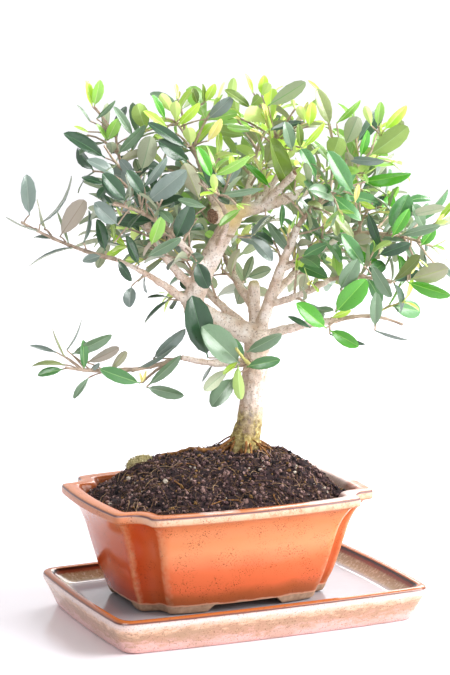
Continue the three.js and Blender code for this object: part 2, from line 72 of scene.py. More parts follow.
def seeded(seed):
    # random numbers from 0 to 1, the same in each run
    state, word = seed, 0xFFFFFFFF

    def draw():
        nonlocal state
        state = (state + 0x6D2B79F5) & word
        mixed = ((state ^ (state >> 15)) * (state | 1)) & word
        mixed ^= (mixed + (mixed ^ (mixed >> 7)) * (mixed | 61)) & word
        return (mixed ^ (mixed >> 14)) / 2**32

    return draw


def mix(a, b, t):
    return a + (b - a) * t


def between(span, draw):
    return mix(*span, draw())


def headingAt(angle):
    return Vector((math.cos(angle), math.sin(angle), 0))


def deselect():
    bpy.ops.object.select_all(action="DESELECT")


def makeActive(piece):
    deselect()
    piece.select_set(True)
    bpy.context.view_layer.objects.active = piece


def startFrom(addShape, **settings):
    deselect()
    addShape(**settings)
    return bpy.context.object


def linked(name, data):
    thing = bpy.data.objects.new(name, data)
    bpy.context.scene.collection.objects.link(thing)
    return thing


def applyModifier(piece, kind, **settings):
    modifier = piece.modifiers.new(kind.title(), kind)
    for name, value in settings.items():
        setattr(modifier, name, value)
    makeActive(piece)
    bpy.ops.object.modifier_apply(modifier=modifier.name)


def smooth(piece, sharpAngle=None):
    makeActive(piece)
    if sharpAngle is None:
        bpy.ops.object.shade_smooth()
    else:
        bpy.ops.object.shade_smooth_by_angle(angle=math.radians(sharpAngle))


def finishPiece(piece, slot, *nodes):
    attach(piece, "root")
    if nodes:
        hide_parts(*nodes)


def arrayPiece(name, parts, materials, sharpAngle):
    # one mesh from many parts: the points and faces of each, and its material or that of each face
    points, faces, slots = [], [], []
    for corners, sides, kinds in parts:
        start = len(points)
        points += corners
        faces += [tuple(i + start for i in side) for side in sides]
        slots += [kinds] * len(sides) if isinstance(kinds, int) else kinds
    mesh = bpy.data.meshes.new(name)
    mesh.from_pydata(points, [], faces)
    piece = linked(name, mesh)
    for material in materials:
        mesh.materials.append(material)
    mesh.polygons.foreach_set("material_index", slots)
    smooth(piece, sharpAngle)
    return piece


# Materials


def hexColour(text):
    parts = [int(text[i:i + 2], 16) / 255 for i in (1, 3, 5)]
    return [p / 12.92 if p <= 0.04045 else ((p + 0.055) / 1.055) ** 2.4 for p in parts] + [1]


def perSize(size):
    return 1 / (size * mm)


def wire(tree, node, inputs):
    # an output is linked to its input, and anything else is the input's own value
    for name, value in inputs.items():
        if isinstance(value, bpy.types.NodeSocket):
            tree.links.new(value, node.inputs[name])
        else:
            node.inputs[name].default_value = value


def addNode(tree, kind, inputs=None, out=0, stops=(), **settings):
    # a node with its settings, colour stops and links, which gives back one of its outputs
    node = tree.nodes.new("ShaderNode" + kind)
    for name, value in settings.items():
        setattr(node, name, value)
    for i, (place, colour) in enumerate(stops):
        elements = node.color_ramp.elements
        element = elements[i] if i < 2 else elements.new(place)
        element.position = place
        element.color = hexColour(colour)
    wire(tree, node, inputs or {})
    return node.outputs[out]


def newMaterial(name):
    material = bpy.data.materials.new(name)
    material.use_nodes = True
    return material, partial(addNode, material.node_tree)


def coat(material, ends):
    # what the shader's own sockets get
    tree = material.node_tree
    wire(tree, tree.nodes["Principled BSDF"], ends)
    return material


# kinds of dull skin: fineness, where the pale colour is reached, the bump and its depth, and the gloss
skins = {
    # weathered end grain of old pruning cuts
    "endGrain": {"detail": 4, "pale": 0.65, "bump": 0.6, "depth": 0.3, "gloss": 0.5},
    # the thin smooth rind of young shoots
    "rind": {"detail": 4, "pale": 0.6, "bump": 0.3, "depth": 0.2, "gloss": 0.5},
    # loose peat, bark crumbs, perlite and moss
    "loose": {"detail": 5, "pale": 0.68, "bump": 0.7, "depth": 0.4, "gloss": 0.2},
}


def mottledSkin(kind, name, dark, pale, size, roughness):
    # one of the dull skins: a colour mottled from dark to pale over a rough surface
    skin = skins[kind]
    material, add = newMaterial(name)
    spot = add("TexCoord", out="Object")
    cloud = add("TexNoise", {"Vector": spot, "Scale": perSize(size), "Detail": skin["detail"]})
    return coat(material, {
        "Base Color": add("ValToRGB", {0: cloud}, stops=[(0.35, dark), (skin["pale"], pale)]),
        "Normal": add("Bump", {"Height": cloud, "Strength": skin["bump"], "Distance": skin["depth"] * mm}),
        "Roughness": roughness, "Specular IOR Level": skin["gloss"],
    })


# Camera, floor and light

view = {"place": (-0.4505, -1.0107, 0.3107), "turn": (80.827, 0.0, -23.842), "lens": 127.86, "sensor": 36}
studio = {
    # the sky's strength at the zenith and at the horizon, and what its bright side has more
    "sky": "#fdfdff", "zenith": 0.58, "horizon": 1.3, "sideShare": 0.3, "brightSide": (0.94, -0.34, 0),
    "floorSize": 40, "floorColour": "#fbf8fe", "floorRoughness": 0.16,
    "lamps": [
        # name, place, aim, size, watts, and whether it lights more than gloss
        ("key", (1.2, -0.8, 0.85), (0, 0, 0.12), 1.1, 46, True),
        ("back", (0.95, 1.1, 0.95), (0, 0, 0.17), 0.9, 18, True),
        ("sheen", (-0.75, -0.55, 1.15), (0, 0, 0.17), 0.9, 22, False),
    ],
}


def makeCamera():
    data = bpy.data.cameras.new("view")
    data.lens = view["lens"]
    data.sensor_width = view["sensor"]
    camera = linked("view", data)
    camera.location = view["place"]
    camera.rotation_euler = [math.radians(a) for a in view["turn"]]
    bpy.context.scene.camera = camera


def makeStudio():
    bpy.context.scene.view_settings.view_transform = "Standard"
    world = bpy.data.worlds.new("studio")
    world.use_nodes = True
    tree = world.node_tree
    add = partial(addNode, tree)
    facing = add("TexCoord", out="Generated")
    height = add("SeparateXYZ", {0: facing}, "Z")
    glow = add("MapRange", {"Value": height, 3: studio["horizon"], 4: studio["zenith"]})
    side = add("VectorMath", {0: facing, 1: studio["brightSide"]}, "Value", operation="DOT_PRODUCT")
    side = add("Math", {0: side, 1: studio["sideShare"], 2: 1}, operation="MULTIPLY_ADD")
    glow = add("Math", {0: glow, 1: side}, operation="MULTIPLY")
    wire(tree, tree.nodes["Background"], {"Color": hexColour(studio["sky"]), "Strength": glow})
    bpy.context.scene.world = world
    for name, place, aim, size, watts, lights in studio["lamps"]:
        data = bpy.data.lights.new(name, "AREA")
        data.size = size
        data.energy = watts
        lamp = linked(name, data)
        lamp.visible_diffuse = lights
        lamp.location = place
        lamp.rotation_euler = (Vector(aim) - Vector(place)).to_track_quat("-Z", "Y").to_euler()
    # white lacquered board: a clear gloss over a white that fills with light
    board = newMaterial("whiteBoard")[0]
    coat(board, {"Base Color": hexColour(studio["floorColour"]), "Roughness": studio["floorRoughness"]})
    floor = startFrom(bpy.ops.mesh.primitive_plane_add, size=studio["floorSize"])
    floor.name = "floor"
    floor.data.materials.append(board)


# Pot and tray

vessel = {
    "sidePoints": 34, "cornerPoints": 14, "shortBow": 0.6, "shrink": 0.012, "roundings": 2,
    "cuts": 2, "cutShares": (0.25, 0.75), "sharpAngle": 38,
    # radians in a millimetre that make a full ridge, the least width of a face, rounds of blur
    "tightest": 0.9, "leastWidth": 0.05, "blurs": 2,
    # columns by which a scoop reaches past its corner, and over which it fades
    "scoopPast": 0.5, "scoopFade": 2,
}
tray = {
    "length": 157, "width": 107, "corner": 7, "cornerHollow": -2, "bow": 2.4,
    "place": (0, 0, 0),
    # wall section from the underside, up and over the rim, to the floor: inset from the rim, height
    "section": [
        (8.2, 0.5), (7.6, 0), (6.2, 0), (5.2, 0.8), (3.4, 6), (1.2, 11), (0, 13.4), (0, 15.7), (0.9, 16.7),
        (2.9, 16.7), (3.8, 16), (4.6, 14.4), (8.6, 11), (11, 10.05), (14, 10), (20, 10),
    ],
}
pot = {
    "length": 130, "width": 98, "corner": 12.4, "cornerHollow": 5.6, "bow": 4.2, "height": 51,
    "place": (-7.5, 1.6, 10.3),
    # wall section from the underside, up the flared wall, over the lip, to the inside floor
    "section": [
        (24, 0), (19.6, 0), (18.2, 1), (17, 5.2), (14.6, 11), (11.5, 23), (8.3, 37), (4.4, 44.2), (2.6, 46),
        (0.6, 46.3), (0, 47), (0, 49.8), (0.7, 51), (5.8, 51), (7, 50), (8.4, 46), (13.6, 37), (17.2, 23),
        (20.2, 12), (24, 9.4),
    ],
    "insideRows": 6,
    # the gaps between the feet, under the long and the short sides
    "footGaps": (39, 33), "footHeight": 3.8, "footSlope": 3.5, "footFlare": 0.3, "footBevel": 0.7,
    "bevelSteps": 3,
}


def oblong(size, inset):
    # the outline at an inset from the rim: bowed sides, and corners hollowed in or rounded out
    shrink = 1 - inset * vessel["shrink"]
    x, y = size["length"] / 2 - inset, size["width"] / 2 - inset
    corner, hollow, bow = (size[name] * shrink for name in ("corner", "cornerHollow", "bow"))
    ends = [
        (-x + corner, -y), (x - corner, -y), (x, -y + corner), (x, y - corner),
        (x - corner, y), (-x + corner, y), (-x, y - corner), (-x, -y + corner),
    ]
    points = []
    for i, start in enumerate(ends):
        start, end = Vector(start), Vector(ends[(i + 1) % len(ends)])
        along = end - start
        outwards = Vector((along.y, -along.x)).normalized()
        push = -hollow if i % 2 else bow * (vessel["shortBow"] if i % 4 else 1)
        count = vessel["cornerPoints"] if i % 2 else vessel["sidePoints"]
        for step in range(count):
            t = step / count
            points.append(start + along * t + outwards * push * (1 - (2 * t - 1) ** 2))
    points = np.array(points)
    for _ in range(vessel["roundings"]):
        points = (np.roll(points, 1, 0) + 2 * points + np.roll(points, -1, 0)) / 4
    return points


def levelRing(outline, height):
    return np.column_stack([outline, np.full(len(outline), height)])


def softened(section):
    # a section with its corners cut again and again, which rounds them
    for _ in range(vessel["cuts"]):
        cut = [section[0]]
        for (a, b), (c, d) in zip(section, section[1:]):
            cut += [(mix(a, c, t), mix(b, d, t)) for t in vessel["cutShares"]]
        section = cut + [section[-1]]
    return section


def vesselRings(size):
    rows = softened(size["section"])
    return [levelRing(oblong(size, inset), height) + size["place"] for inset, height in rows]


def ringPiece(name, rings):
    # a closed piece: a disc set on the first ring and extruded from ring to ring
    piece = startFrom(bpy.ops.mesh.primitive_circle_add, vertices=len(rings[0]), fill_type="NGON")
    piece.name = piece.data.name = name
    column = piece.data.attributes.new("column", "INT", "POINT")
    column.data.foreach_set("value", range(len(rings[0])))
    piece.data.attributes.new("run", "FLOAT", "POINT")
    bpy.ops.object.mode_set(mode="EDIT")
    bpy.ops.mesh.select_all(action="SELECT")
    for number, ring in enumerate(rings):
        if number:
            bpy.ops.mesh.extrude_region_move()
        shape = bmesh.from_edit_mesh(piece.data)
        columnOf = shape.verts.layers.int["column"]
        runOf = shape.verts.layers.float["run"]
        for corner in shape.verts:
            if corner.select:
                corner.co = Vector(ring[corner[columnOf]]) * mm
                corner[runOf] = number / (len(rings) - 1)
        bmesh.update_edit_mesh(piece.data)
    bpy.ops.mesh.select_all(action="SELECT")
    bpy.ops.mesh.normals_make_consistent(inside=False)
    bpy.ops.object.mode_set(mode="OBJECT")
    return piece


def markPoints(piece, name, values):
    attribute = piece.data.attributes.new(name, "FLOAT", "POINT")
    attribute.data.foreach_set("value", values.astype(np.float32))


def markRidges(piece):
    # how sharply the surface bends outwards at each point, up to 1
    shape = bmesh.new()
    shape.from_mesh(piece.data)
    ridge = np.zeros(len(shape.verts))
    for edge in shape.edges:
        if len(edge.link_faces) != 2:
            continue
        width = sum(face.calc_area() for face in edge.link_faces) / edge.calc_length() / 2 / mm
        bend = edge.calc_face_angle_signed(0) / max(width, vessel["leastWidth"])
        for corner in edge.verts:
            ridge[corner.index] = max(ridge[corner.index], min(bend / vessel["tightest"], 1))
    ends = np.array([[corner.index for corner in edge.verts] for edge in shape.edges])
    for _ in range(vessel["blurs"]):
        total, count = ridge.copy(), np.ones(len(ridge))
        for a, b in (ends.T, ends.T[::-1]):
            np.add.at(total, a, ridge[b])
            np.add.at(count, a, 1)
        ridge = total / count
    shape.free()
    markPoints(piece, "ridge", ridge)


def markScoops(piece):
    # 1 in the hollow corners of the wall, fading at their two ridges
    columns = np.empty(len(piece.data.vertices), dtype=np.int32)
    piece.data.attributes["column"].data.foreach_get("value", columns)
    reach = vessel["cornerPoints"] / 2
    off = np.abs(columns % (vessel["sidePoints"] + vessel["cornerPoints"]) - vessel["sidePoints"] - reach)
    markPoints(piece, "scoop", np.clip((reach + vessel["scoopPast"] - off) / vessel["scoopFade"], 0, 1))


def footBar(gap, turn):
    # a bar with sloping ends that leaves the gap between two feet
    bar = startFrom(bpy.ops.mesh.primitive_cube_add, size=1)
    low, high = gap / 2 + pot["footSlope"] * pot["footFlare"], gap / 2 - pot["footSlope"]
    for corner in bar.data.vertices:
        x, y, z = corner.co
        reach, height = (high, pot["footHeight"]) if z > 0 else (low, -1)
        corner.co = Vector((math.copysign(reach, x), y * pot["length"], height)) * mm
    bar.data.transform(Matrix.Rotation(turn, 4, "Z"))
    bar.data.transform(Matrix.Translation(Vector(pot["place"]) * mm))
    bpy.ops.object.mode_set(mode="EDIT")
    bpy.ops.mesh.select_all(action="SELECT")
    bpy.ops.mesh.bevel(offset=pot["footBevel"] * mm, segments=pot["bevelSteps"])
    bpy.ops.object.mode_set(mode="OBJECT")
    return bar


def makeVessel(name, node, size, material, *marks):
    piece = ringPiece(name, vesselRings(size))
    for gap, turn in zip(size.get("footGaps", ()), (0, quarterTurn)):
        bar = footBar(gap, turn)
        applyModifier(piece, "BOOLEAN", operation="DIFFERENCE", object=bar, solver="EXACT")
        bpy.data.objects.remove(bar)
    for mark in marks:
        mark(piece)
    piece.data.materials.clear()
    piece.data.materials.append(material)
    smooth(piece, vessel["sharpAngle"])
    finishPiece(piece, "glaze", node)


def glazedPot():
    # iron-glazed stoneware: glossy orange, pale where it is thin, brown where it pools, bare at the feet; a
    # paler band high on the wall is painted reflection, and a line under the lip and the left end are painted
    # shade
    material, add = newMaterial("ironGlaze")
    spot = add("TexCoord", out="Object")
    x, z = (add("SeparateXYZ", {0: spot}, axis) for axis in "XZ")
    run, scoop, ridge = (
        add("Attribute", out="Fac", attribute_name=name) for name in ("run", "scoop", "ridge")
    )
    cloud, patch, fleck, thick, grain, wander, ripple = (
        add("TexNoise", {"Vector": spot, "Scale": perSize(size), "Detail": detail})
        for size, detail in ((16, 5), (24, 5), (0.65, 2), (9, 3), (2.2, 3), (9, 4), (5, 3))
    )
    base = pot["place"][2] * mm
    wave = add("MapRange", {"Value": cloud, 3: -0.07, 4: 0.07})
    level = add("MapRange", {"Value": z, 1: base, 2: base + pot["height"] * mm})
    level = add("Math", {0: level, 1: wave}, operation="ADD")
    # the wall by height: brown towards the foot, then orange, and a paler peach band high up that is a painted
    # reflection
    colour = add("ValToRGB", {0: level}, stops=[
        (0.0, "#8a4c2c"), (0.1, "#98502c"), (0.17, "#ae5a30"), (0.25, "#d96a42"), (0.42, "#de724a"),
        (0.6, "#e49062"), (0.7, "#e18a5a"), (0.82, "#df8b5e"), (1.0, "#c4683a"),
    ])
    # the hollow corners are browner, and the left end is painted a darker red as shade, for less light falls on
    # it
    scoop = add("Math", {0: scoop, 1: 0.65}, operation="MULTIPLY")
    shadedLeftEnd = add("MapRange", {"Value": x, 1: -48 * mm, 2: -62 * mm, 4: 0.95})
    # the lip: a cream face with a painted shadow line under it, a dark line along its outer edge, a rusty top
    sway = add("MapRange", {"Value": cloud, 3: -0.004, 4: 0.004})
    lip = add("Math", {0: run, 1: sway}, operation="ADD")
    bands = add("ValToRGB", {0: lip}, stops=[
        (0.47, "#b4562a"), (0.5, "#a04a24"), (0.525, "#dcaa88"), (0.572, "#e2bea5"), (0.585, "#745456"),
        (0.6, "#785858"), (0.615, "#d0855a"), (0.66, "#c97544"), (0.7, "#a9572c"), (0.76, "#8a4a2c"),
    ])
    onLip = add("MapRange", {"Value": run, 1: 0.485, 2: 0.5})
    # its face is rusty in spots and all along the left
    rust = add("MapRange", {"Value": x, 1: -58 * mm, 2: -68 * mm, 4: 0.75})
    onFace = add("MapRange", {"Value": run, 1: 0.58, 2: 0.572})
    mottle = add("TexNoise", {"Vector": spot, "Scale": perSize(3.4), "Detail": 6, "Roughness": 0.7})
    mottle = add("MapRange", {"Value": mottle, 1: 0.48, 2: 0.68, 4: 0.6})
    mottle = add("Math", {0: mottle, 1: onLip}, operation="MULTIPLY")
    rust = add("Math", {0: rust, 1: mottle}, operation="MAXIMUM")
    rust = add("Math", {0: rust, 1: onFace}, operation="MULTIPLY")
    # its top has pale patches, more of them to the right
    fade = add("MapRange", {"Value": x, 1: -70 * mm, 2: 60 * mm, 3: -0.12, 4: 0.16})
    patch = add("Math", {0: patch, 1: fade}, operation="ADD")
    patch = add("MapRange", {"Value": patch, 1: 0.5, 2: 0.62, 4: 0.8})
    onTop = add("MapRange", {"Value": run, 1: 0.605, 2: 0.62})
    patch = add("Math", {0: patch, 1: onTop}, operation="MULTIPLY")
    # brown flecks of iron, thick in clouds
    fleck = add("MapRange", {"Value": fleck, 1: 0.56, 2: 0.68})
    thick = add("MapRange", {"Value": thick, 1: 0.42, 2: 0.62, 4: 0.8})
    fleck = add("Math", {0: fleck, 1: thick}, operation="MULTIPLY")
    # thin pale glaze on the ridges of the wall
    worn = add("Math", {0: ridge, 1: grain}, operation="MULTIPLY")
    worn = add("MapRange", {"Value": worn, 1: 0.06, 2: 0.24, 4: 0.45})
    onWall = add("MapRange", {"Value": run, 1: 0.51, 2: 0.49})
    worn = add("Math", {0: worn, 1: onWall}, operation="MULTIPLY")
    # a pale line where the glaze stops, and bare clay below it
    line = add("MapRange", {"Value": wander, 3: base + 2.6 * mm, 4: base + 5.4 * mm})
    above = add("Math", {0: z, 1: line}, operation="SUBTRACT")
    edge = add("MapRange", {"Value": above, 1: 1.0 * mm, 2: 0.3 * mm, 4: 0.7})
    bare = add("MapRange", {"Value": above, 1: 0.2 * mm, 2: -0.2 * mm})
    clay = add("ValToRGB", {0: grain}, stops=[(0.3, "#8c6f5a"), (0.7, "#ae917a")])
    for share, tint in (
        (scoop, hexColour("#b04c1c")), (shadedLeftEnd, hexColour("#b2360a")), (onLip, bands),
        (rust, hexColour("#b8602e")), (patch, hexColour("#e4d0ca")), (fleck, hexColour("#6b3218")),
        (worn, hexColour("#e0b48a")), (edge, hexColour("#d8a68a")), (bare, clay),
    ):
        colour = add("Mix", {0: share, 6: colour, 7: tint}, 2, data_type="RGBA")
    return coat(material, {
        "Base Color": colour, "IOR": 1.34, "Specular IOR Level": 0.35,
        "Roughness": add("MapRange", {"Value": bare, 3: 0.15, 4: 0.75}),
        "Normal": add("Bump", {"Height": ripple, "Strength": 0.14, "Distance": 0.5 * mm}),
    })


def glazedTray():
    # the same glaze run thin on stoneware: bands of rust, cream, ochre and pink, and a pale glossy floor; the
    # cream carries a painted highlight, the pink is a painted reflection of the floor, and a dark line inside
    # the rim is painted shadow
    material, add = newMaterial("runGlaze")
    spot = add("TexCoord", out="Object")
    run = add("Attribute", out="Fac", attribute_name="run")
    # runs and clouds lie longer along the wall than down it
    flat = add("Mapping", {"Vector": spot, "Scale": (1, 1, 2.6)})
    cloud = add("TexNoise", {"Vector": flat, "Scale": perSize(6), "Detail": 8, "Roughness": 0.72})
    crystal, blotch, fleck, ripple = (
        add("TexNoise", {"Vector": place, "Scale": perSize(size), "Detail": detail})
        for place, size, detail in ((spot, 1.7, 4), (flat, 15, 6), (spot, 0.8, 2), (spot, 5, 3))
    )
    wave = add("MapRange", {"Value": cloud, 1: 0.25, 2: 0.75, 3: -0.06, 4: 0.06})
    onWall = add("MapRange", {"Value": run, 1: 0.45, 2: 0.37, 3: 0.06, 4: 1})
    wave = add("Math", {0: wave, 1: onWall}, operation="MULTIPLY")
    bent = add("Math", {0: run, 1: wave}, operation="ADD")
    # the outside, from the foot up: pink that is a painted reflection of the floor, grey-brown, ochre, then on
    # the upright lip pale cream glaze with a painted highlight, a dark line and the rusty rim
    colour = add("ValToRGB", {0: bent}, stops=[
        (0.1, "#a58a7c"), (0.19, "#dca9a2"), (0.24, "#ddb0a8"), (0.285, "#c0947c"), (0.315, "#b38c70"),
        (0.35, "#deb496"), (0.385, "#e2c5b2"), (0.42, "#e4cfca"), (0.452, "#dac0ba"), (0.466, "#6a3c32"),
        (0.484, "#6e4034"), (0.498, "#b0602f"), (0.58, "#b8672f"), (0.625, "#c27a4c"), (0.645, "#3c1c16"),
    ])
    # inside: a near-black line along the rim's inner edge that is painted shadow, then rust, a beige slope and
    # the floor
    inner = add("ValToRGB", {0: bent}, stops=[
        (0.645, "#2a1412"), (0.68, "#3a1a14"), (0.7, "#7e3822"), (0.722, "#8a4a32"), (0.74, "#a48e70"),
        (0.8, "#b8ab90"), (0.84, "#b2b0b6"), (0.9, "#aaa6ac"),
    ])
    inside = add("MapRange", {"Value": bent, 1: 0.64, 2: 0.65})
    # pale crystals on the slope inside
    crystal = add("MapRange", {"Value": crystal, 1: 0.5, 2: 0.64, 4: 0.6})
    slope = add("ValToRGB", {0: run}, stops=[
        (0.72, "#000000"), (0.86, "#000000"), (0.745, "#ffffff"), (0.82, "#ffffff"),
    ])
    crystal = add("Math", {0: crystal, 1: slope}, operation="MULTIPLY")
    # ochre blotches outside, and brown flecks everywhere but on the floor
    blotch = add("MapRange", {"Value": blotch, 1: 0.48, 2: 0.66, 4: 0.5})
    outside = add("MapRange", {"Value": run, 1: 0.4, 2: 0.34})
    blotch = add("Math", {0: blotch, 1: outside}, operation="MULTIPLY")
    fleck = add("MapRange", {"Value": fleck, 1: 0.58, 2: 0.68})
    offFloor = add("MapRange", {"Value": run, 1: 0.88, 2: 0.78})
    for share in (cloud, offFloor):
        fleck = add("Math", {0: fleck, 1: share}, operation="MULTIPLY")
    for share, tint in (
        (inside, inner), (crystal, hexColour("#dcd2bc")), (blotch, hexColour("#ad9074")),
        (fleck, hexColour("#5f3a26")),
    ):
        colour = add("Mix", {0: share, 6: colour, 7: tint}, 2, data_type="RGBA")
    return coat(material, {
        "Base Color": colour, "IOR": 1.5, "Roughness": 0.13,
        "Normal": add("Bump", {"Height": ripple, "Strength": 0.12, "Distance": 0.5 * mm}),
    })


# Tree: where it stands, its limbs and its foliage masses, in its own frame

treeSpot = {"place": (12.1, 13.6, 75.1), "turn": -23.8}
treeTurn = Matrix.Rotation(math.radians(treeSpot["turn"]), 4, "Z")
toPart = Matrix.Scale(mm, 4) @ Matrix.Translation(treeSpot["place"]) @ treeTurn
# at is a share of the parent's length, or the starting point of a limb without one
Limb = namedtuple("Limb", "name parent at tip bow radii")
limbPlan = [Limb(*row) for row in (
    ("trunk", None, (0, 0, -3), (6.6, 0, 58), (1.1, 0, 0), (6.1, 6.2)),
    ("bough_left", "trunk", 0.95, (-26, -2, 70.5), (-1, -0.6, -1.6), (5.3, 4.9)),
    ("bough_crown", None, (-15.5, 2.5, 112.6), (34, 2, 126), (0, 0.5, -2.6), (4.2, 1.9)),
    ("bough_left_riser", "bough_left", 0.97, (-4, 4.4, 112), (-1.4, 0, 1), (5.2, 4.3)),
    ("bough_right_rise", "trunk", 0.93, (25, -8, 108), (-0.6, 0.6, 0.6), (3.3, 1.9)),
    ("bough_right", "trunk", 0.93, (44, -12, 64.3), (0, -0.6, 1.4), (2.6, 1.6)),
    ("stub_rear", "trunk", 0.95, (4.8, 8.5, 79), (-0.6, 0, 0), (3.3, 2.9)),
    ("bough_left_tip", "bough_left", 0.96, (-60, -10, 92.8), (1, -1, 1.4), (2.4, 0.95)),
    ("bough_low_left", "trunk", 0.76, (-29.5, -12, 46.7), (0, -1, -2.4), (2.1, 1.4)),
    ("bough_rear_left", "trunk", 0.96, (-25, 31, 80), (-1, 2, -1.5), (2.5, 1.5)),
    ("bough_rear", "stub_rear", 0.5, (-9, 29, 89), (-1.5, 0.5, 1), (2.3, 1.5)),
    ("bough_rear_right", "bough_right_rise", 0.36, (33, 21, 95), (1.5, -1, 0), (2.1, 1.5)),
    ("bough_left_up", "bough_left_riser", 0.16, (-47, -5, 113), (-3, 0, -1), (2.4, 1.5)),
    ("bough_left_front", "bough_left_riser", 0.42, (-31, -20, 104), (0, -1, -1.5), (2.2, 1.5)),
    ("bough_crown_left", "bough_crown", 0.12, (-20, 4, 131), (-1.5, 0, 0), (2.2, 1.5)),
    ("bough_crown_mid", "bough_crown", 0.36, (17, 4, 133), (1, 0, -1), (2.1, 1.4)),
    ("bough_crown_rear", "bough_crown", 0.3, (4, 27, 132), (0, 1, -2), (2.2, 1.5)),
    ("bough_right_side", "bough_right_rise", 0.62, (46, -6, 104), (0, 0, -1.4), (1.9, 1.4)),
    ("bough_right_mid", "bough_right_rise", 0.3, (40, -15, 84), (0, -1, -1.4), (1.9, 1.4)),
    ("bough_front", "bough_left_riser", 0.66, (-8, -19, 112), (0, -1, -1.5), (2, 1.4)),
)]
# stubs and knobs left by pruning, on the limbs
stubPlan = [Limb(*row) for row in (
    ("stub_front", "bough_crown", 0.46, (23.5, -12, 133.5), (0, 0, 0), (2.2, 1.7)),
    ("cut_crown", None, (-8, 2.2, 114.2), (-15, -6, 112.6), (0, 0, 0), (4.2, 3.9)),
    ("knob_elbow", "bough_left", 0.93, (-29, -2.2, 74), (0, 0, 0), (5, 2.2)),
    ("knob_rear", "stub_rear", 0.9, (4.6, 8.6, 80.4), (0, 0, 0), (3.1, 2)),
)]
woodPlan = limbPlan + stubPlan
# which end of a limb shows cut wood: 0 its start, 1 its tip
cutEnds = {"bough_crown": 0, "stub_front": 1, "cut_crown": 1}
# thin is the share of its twigs and leaves that a mass keeps
Mass = namedtuple("Mass", "name bough end bow reach tone thin")
massPlan = [Mass(*row) for row in (
    ("leaves_left_tip", "bough_left_tip", (-104, -15, 111), (0, 0, -2), 22, "silver", 0.4),
    ("leaves_left_up", "bough_left_up", (-60, -4, 150), (-3, 0, 2), 33, "shade", 1),
    ("leaves_left_front", "bough_left_front", (-60, -42, 122), (0, 0, 3), 33, "silver", 1),
    ("leaves_top_left", "bough_crown_left", (-32, 2, 156), (2, 0, 0), 33, "sun", 1),
    ("leaves_top_mid", "bough_crown_mid", (12, 0, 156), (2, 0, 0), 33, "sun", 1),
    ("leaves_top_right", "bough_crown", (64, -4, 149), (2, 0, -3), 33, "sun", 1),
    ("leaves_right_front", "bough_right_rise", (43, -38, 128), (0, 0, 3), 32, "green", 1),
    ("leaves_right_side", "bough_right_side", (88, -12, 99), (0, 0, 3), 29, "green", 1),
    ("leaves_right_mid", "bough_right_mid", (68, -27, 84), (0, 0, 2), 26, "green", 1),
    ("leaves_right_low", "bough_right", (74, -18, 63), (0, 0, 3), 26, "green", 0.25),
    ("leaves_low_left", "bough_low_left", (-84, -19, 43), (0, 0, -4), 22, "shade", 0.12),
    ("leaves_front", "bough_front", (-14, -46, 128), (0, 0, 3), 30, "shade", 1),
    ("leaves_trunk", "trunk", (-4, -24, 53), (0, -2, -1), 25, "dark", 0.12),
    ("leaves_rear_left", "bough_rear_left", (-62, 56, 108), (0, 0, 3), 34, "shade", 1),
    ("leaves_rear", "bough_rear", (-16, 68, 112), (0, 0, 4), 34, "green", 1),
    ("leaves_rear_right", "bough_rear_right", (66, 42, 112), (0, 0, 3), 34, "green", 1),
    ("leaves_top_rear", "bough_crown_rear", (10, 46, 151), (0, 2, 0), 34, "sun", 1),
)]


class Bow:
    # a curve from start to tip whose middle is pushed off the straight line, measured along its own length
    steps = 200

    def __init__(self, start, tip, bow):
        self.start, self.tip = Vector(start), Vector(tip)
        self.control = (self.start + self.tip) / 2 + Vector(bow) * 2
        self.shares = np.linspace(0, 1, self.steps + 1)
        points = np.array([self.at(t) for t in self.shares])
        self.lengths = np.concatenate([[0], np.cumsum(np.linalg.norm(np.diff(points, axis=0), axis=1))])
        self.length = self.lengths[-1]

    def at(self, t):
        return self.start * (1 - t) ** 2 + self.control * 2 * t * (1 - t) + self.tip * t**2

    def share(self, along):
        return float(np.interp(along * self.length, self.lengths, self.shares))

    def pointAt(self, along):
        return self.at(self.share(along))

    def tangentAt(self, along):
        t = self.share(along)
        return ((self.control - self.start) * (1 - t) + (self.tip - self.control) * t).normalized()

    def points(self):
        # about one for each millimetre
        return [self.pointAt(along) for along in np.linspace(0, 1, math.ceil(self.length) + 1)]


def startOn(curves, carrier, along):
    if carrier == "trunk":
        # the trunk's measure starts at the ground
        trunk = limbPlan[0]
        buried = -trunk.at[2] / (trunk.tip[2] - trunk.at[2])
        along = buried + (1 - buried) * along
    return curves[carrier].pointAt(along)


def limbCurves():
    curves = {}
    for limb in woodPlan:
        start = startOn(curves, limb.parent, limb.at) if limb.parent else limb.at
        curves[limb.name] = Bow(start, limb.tip, limb.bow)
    return curves


# Bark

bark = {
    "voxel": 0.45, "smoothShare": 0.5, "smoothSteps": 12, "tubeRound": 4, "tubeSteps": 20,
    # root toes: how far each strays, where it leaves the trunk (out, up), its reach, depth and bow (in, down)
    "toes": 7, "toeSeed": 5, "toeStray": 0.6, "toeStart": (1.2, 12), "toeReach": (8.5, 12.5), "toeDepth": 3.2,
    "toeBow": (0.6, 1.2), "toeRadii": (3.6, 1.2),
    "reliefSize": 3.2, "relief": 0.42, "grainSize": 1.1, "grain": 0.16, "grainStretch": 0.5,
    "wartSize": 2.6, "wart": 0.32, "wartEdge": 0.32,
    # faces that belong to a cut: within its radius, near its plane, and turned its way
    "cutReach": 1.05, "cutDepth": 0.9, "cutFacing": 0.75,
    # the side painted browner as shade, which faces away from the light, and the height where the damp ends and
    # where it is full
    "shadedSide": (-0.9, 0.4, -0.15), "dampTop": 30, "dampFull": 3,
    # place, outer and inner radius, colour: young wood behind the large cut, and moss on the rear stub
    "spots": [((-5, -1, 114), 11, 5, "#ecd48e"), ((4.8, 8.5, 81), 5.5, 2, "#cfc578")],
}


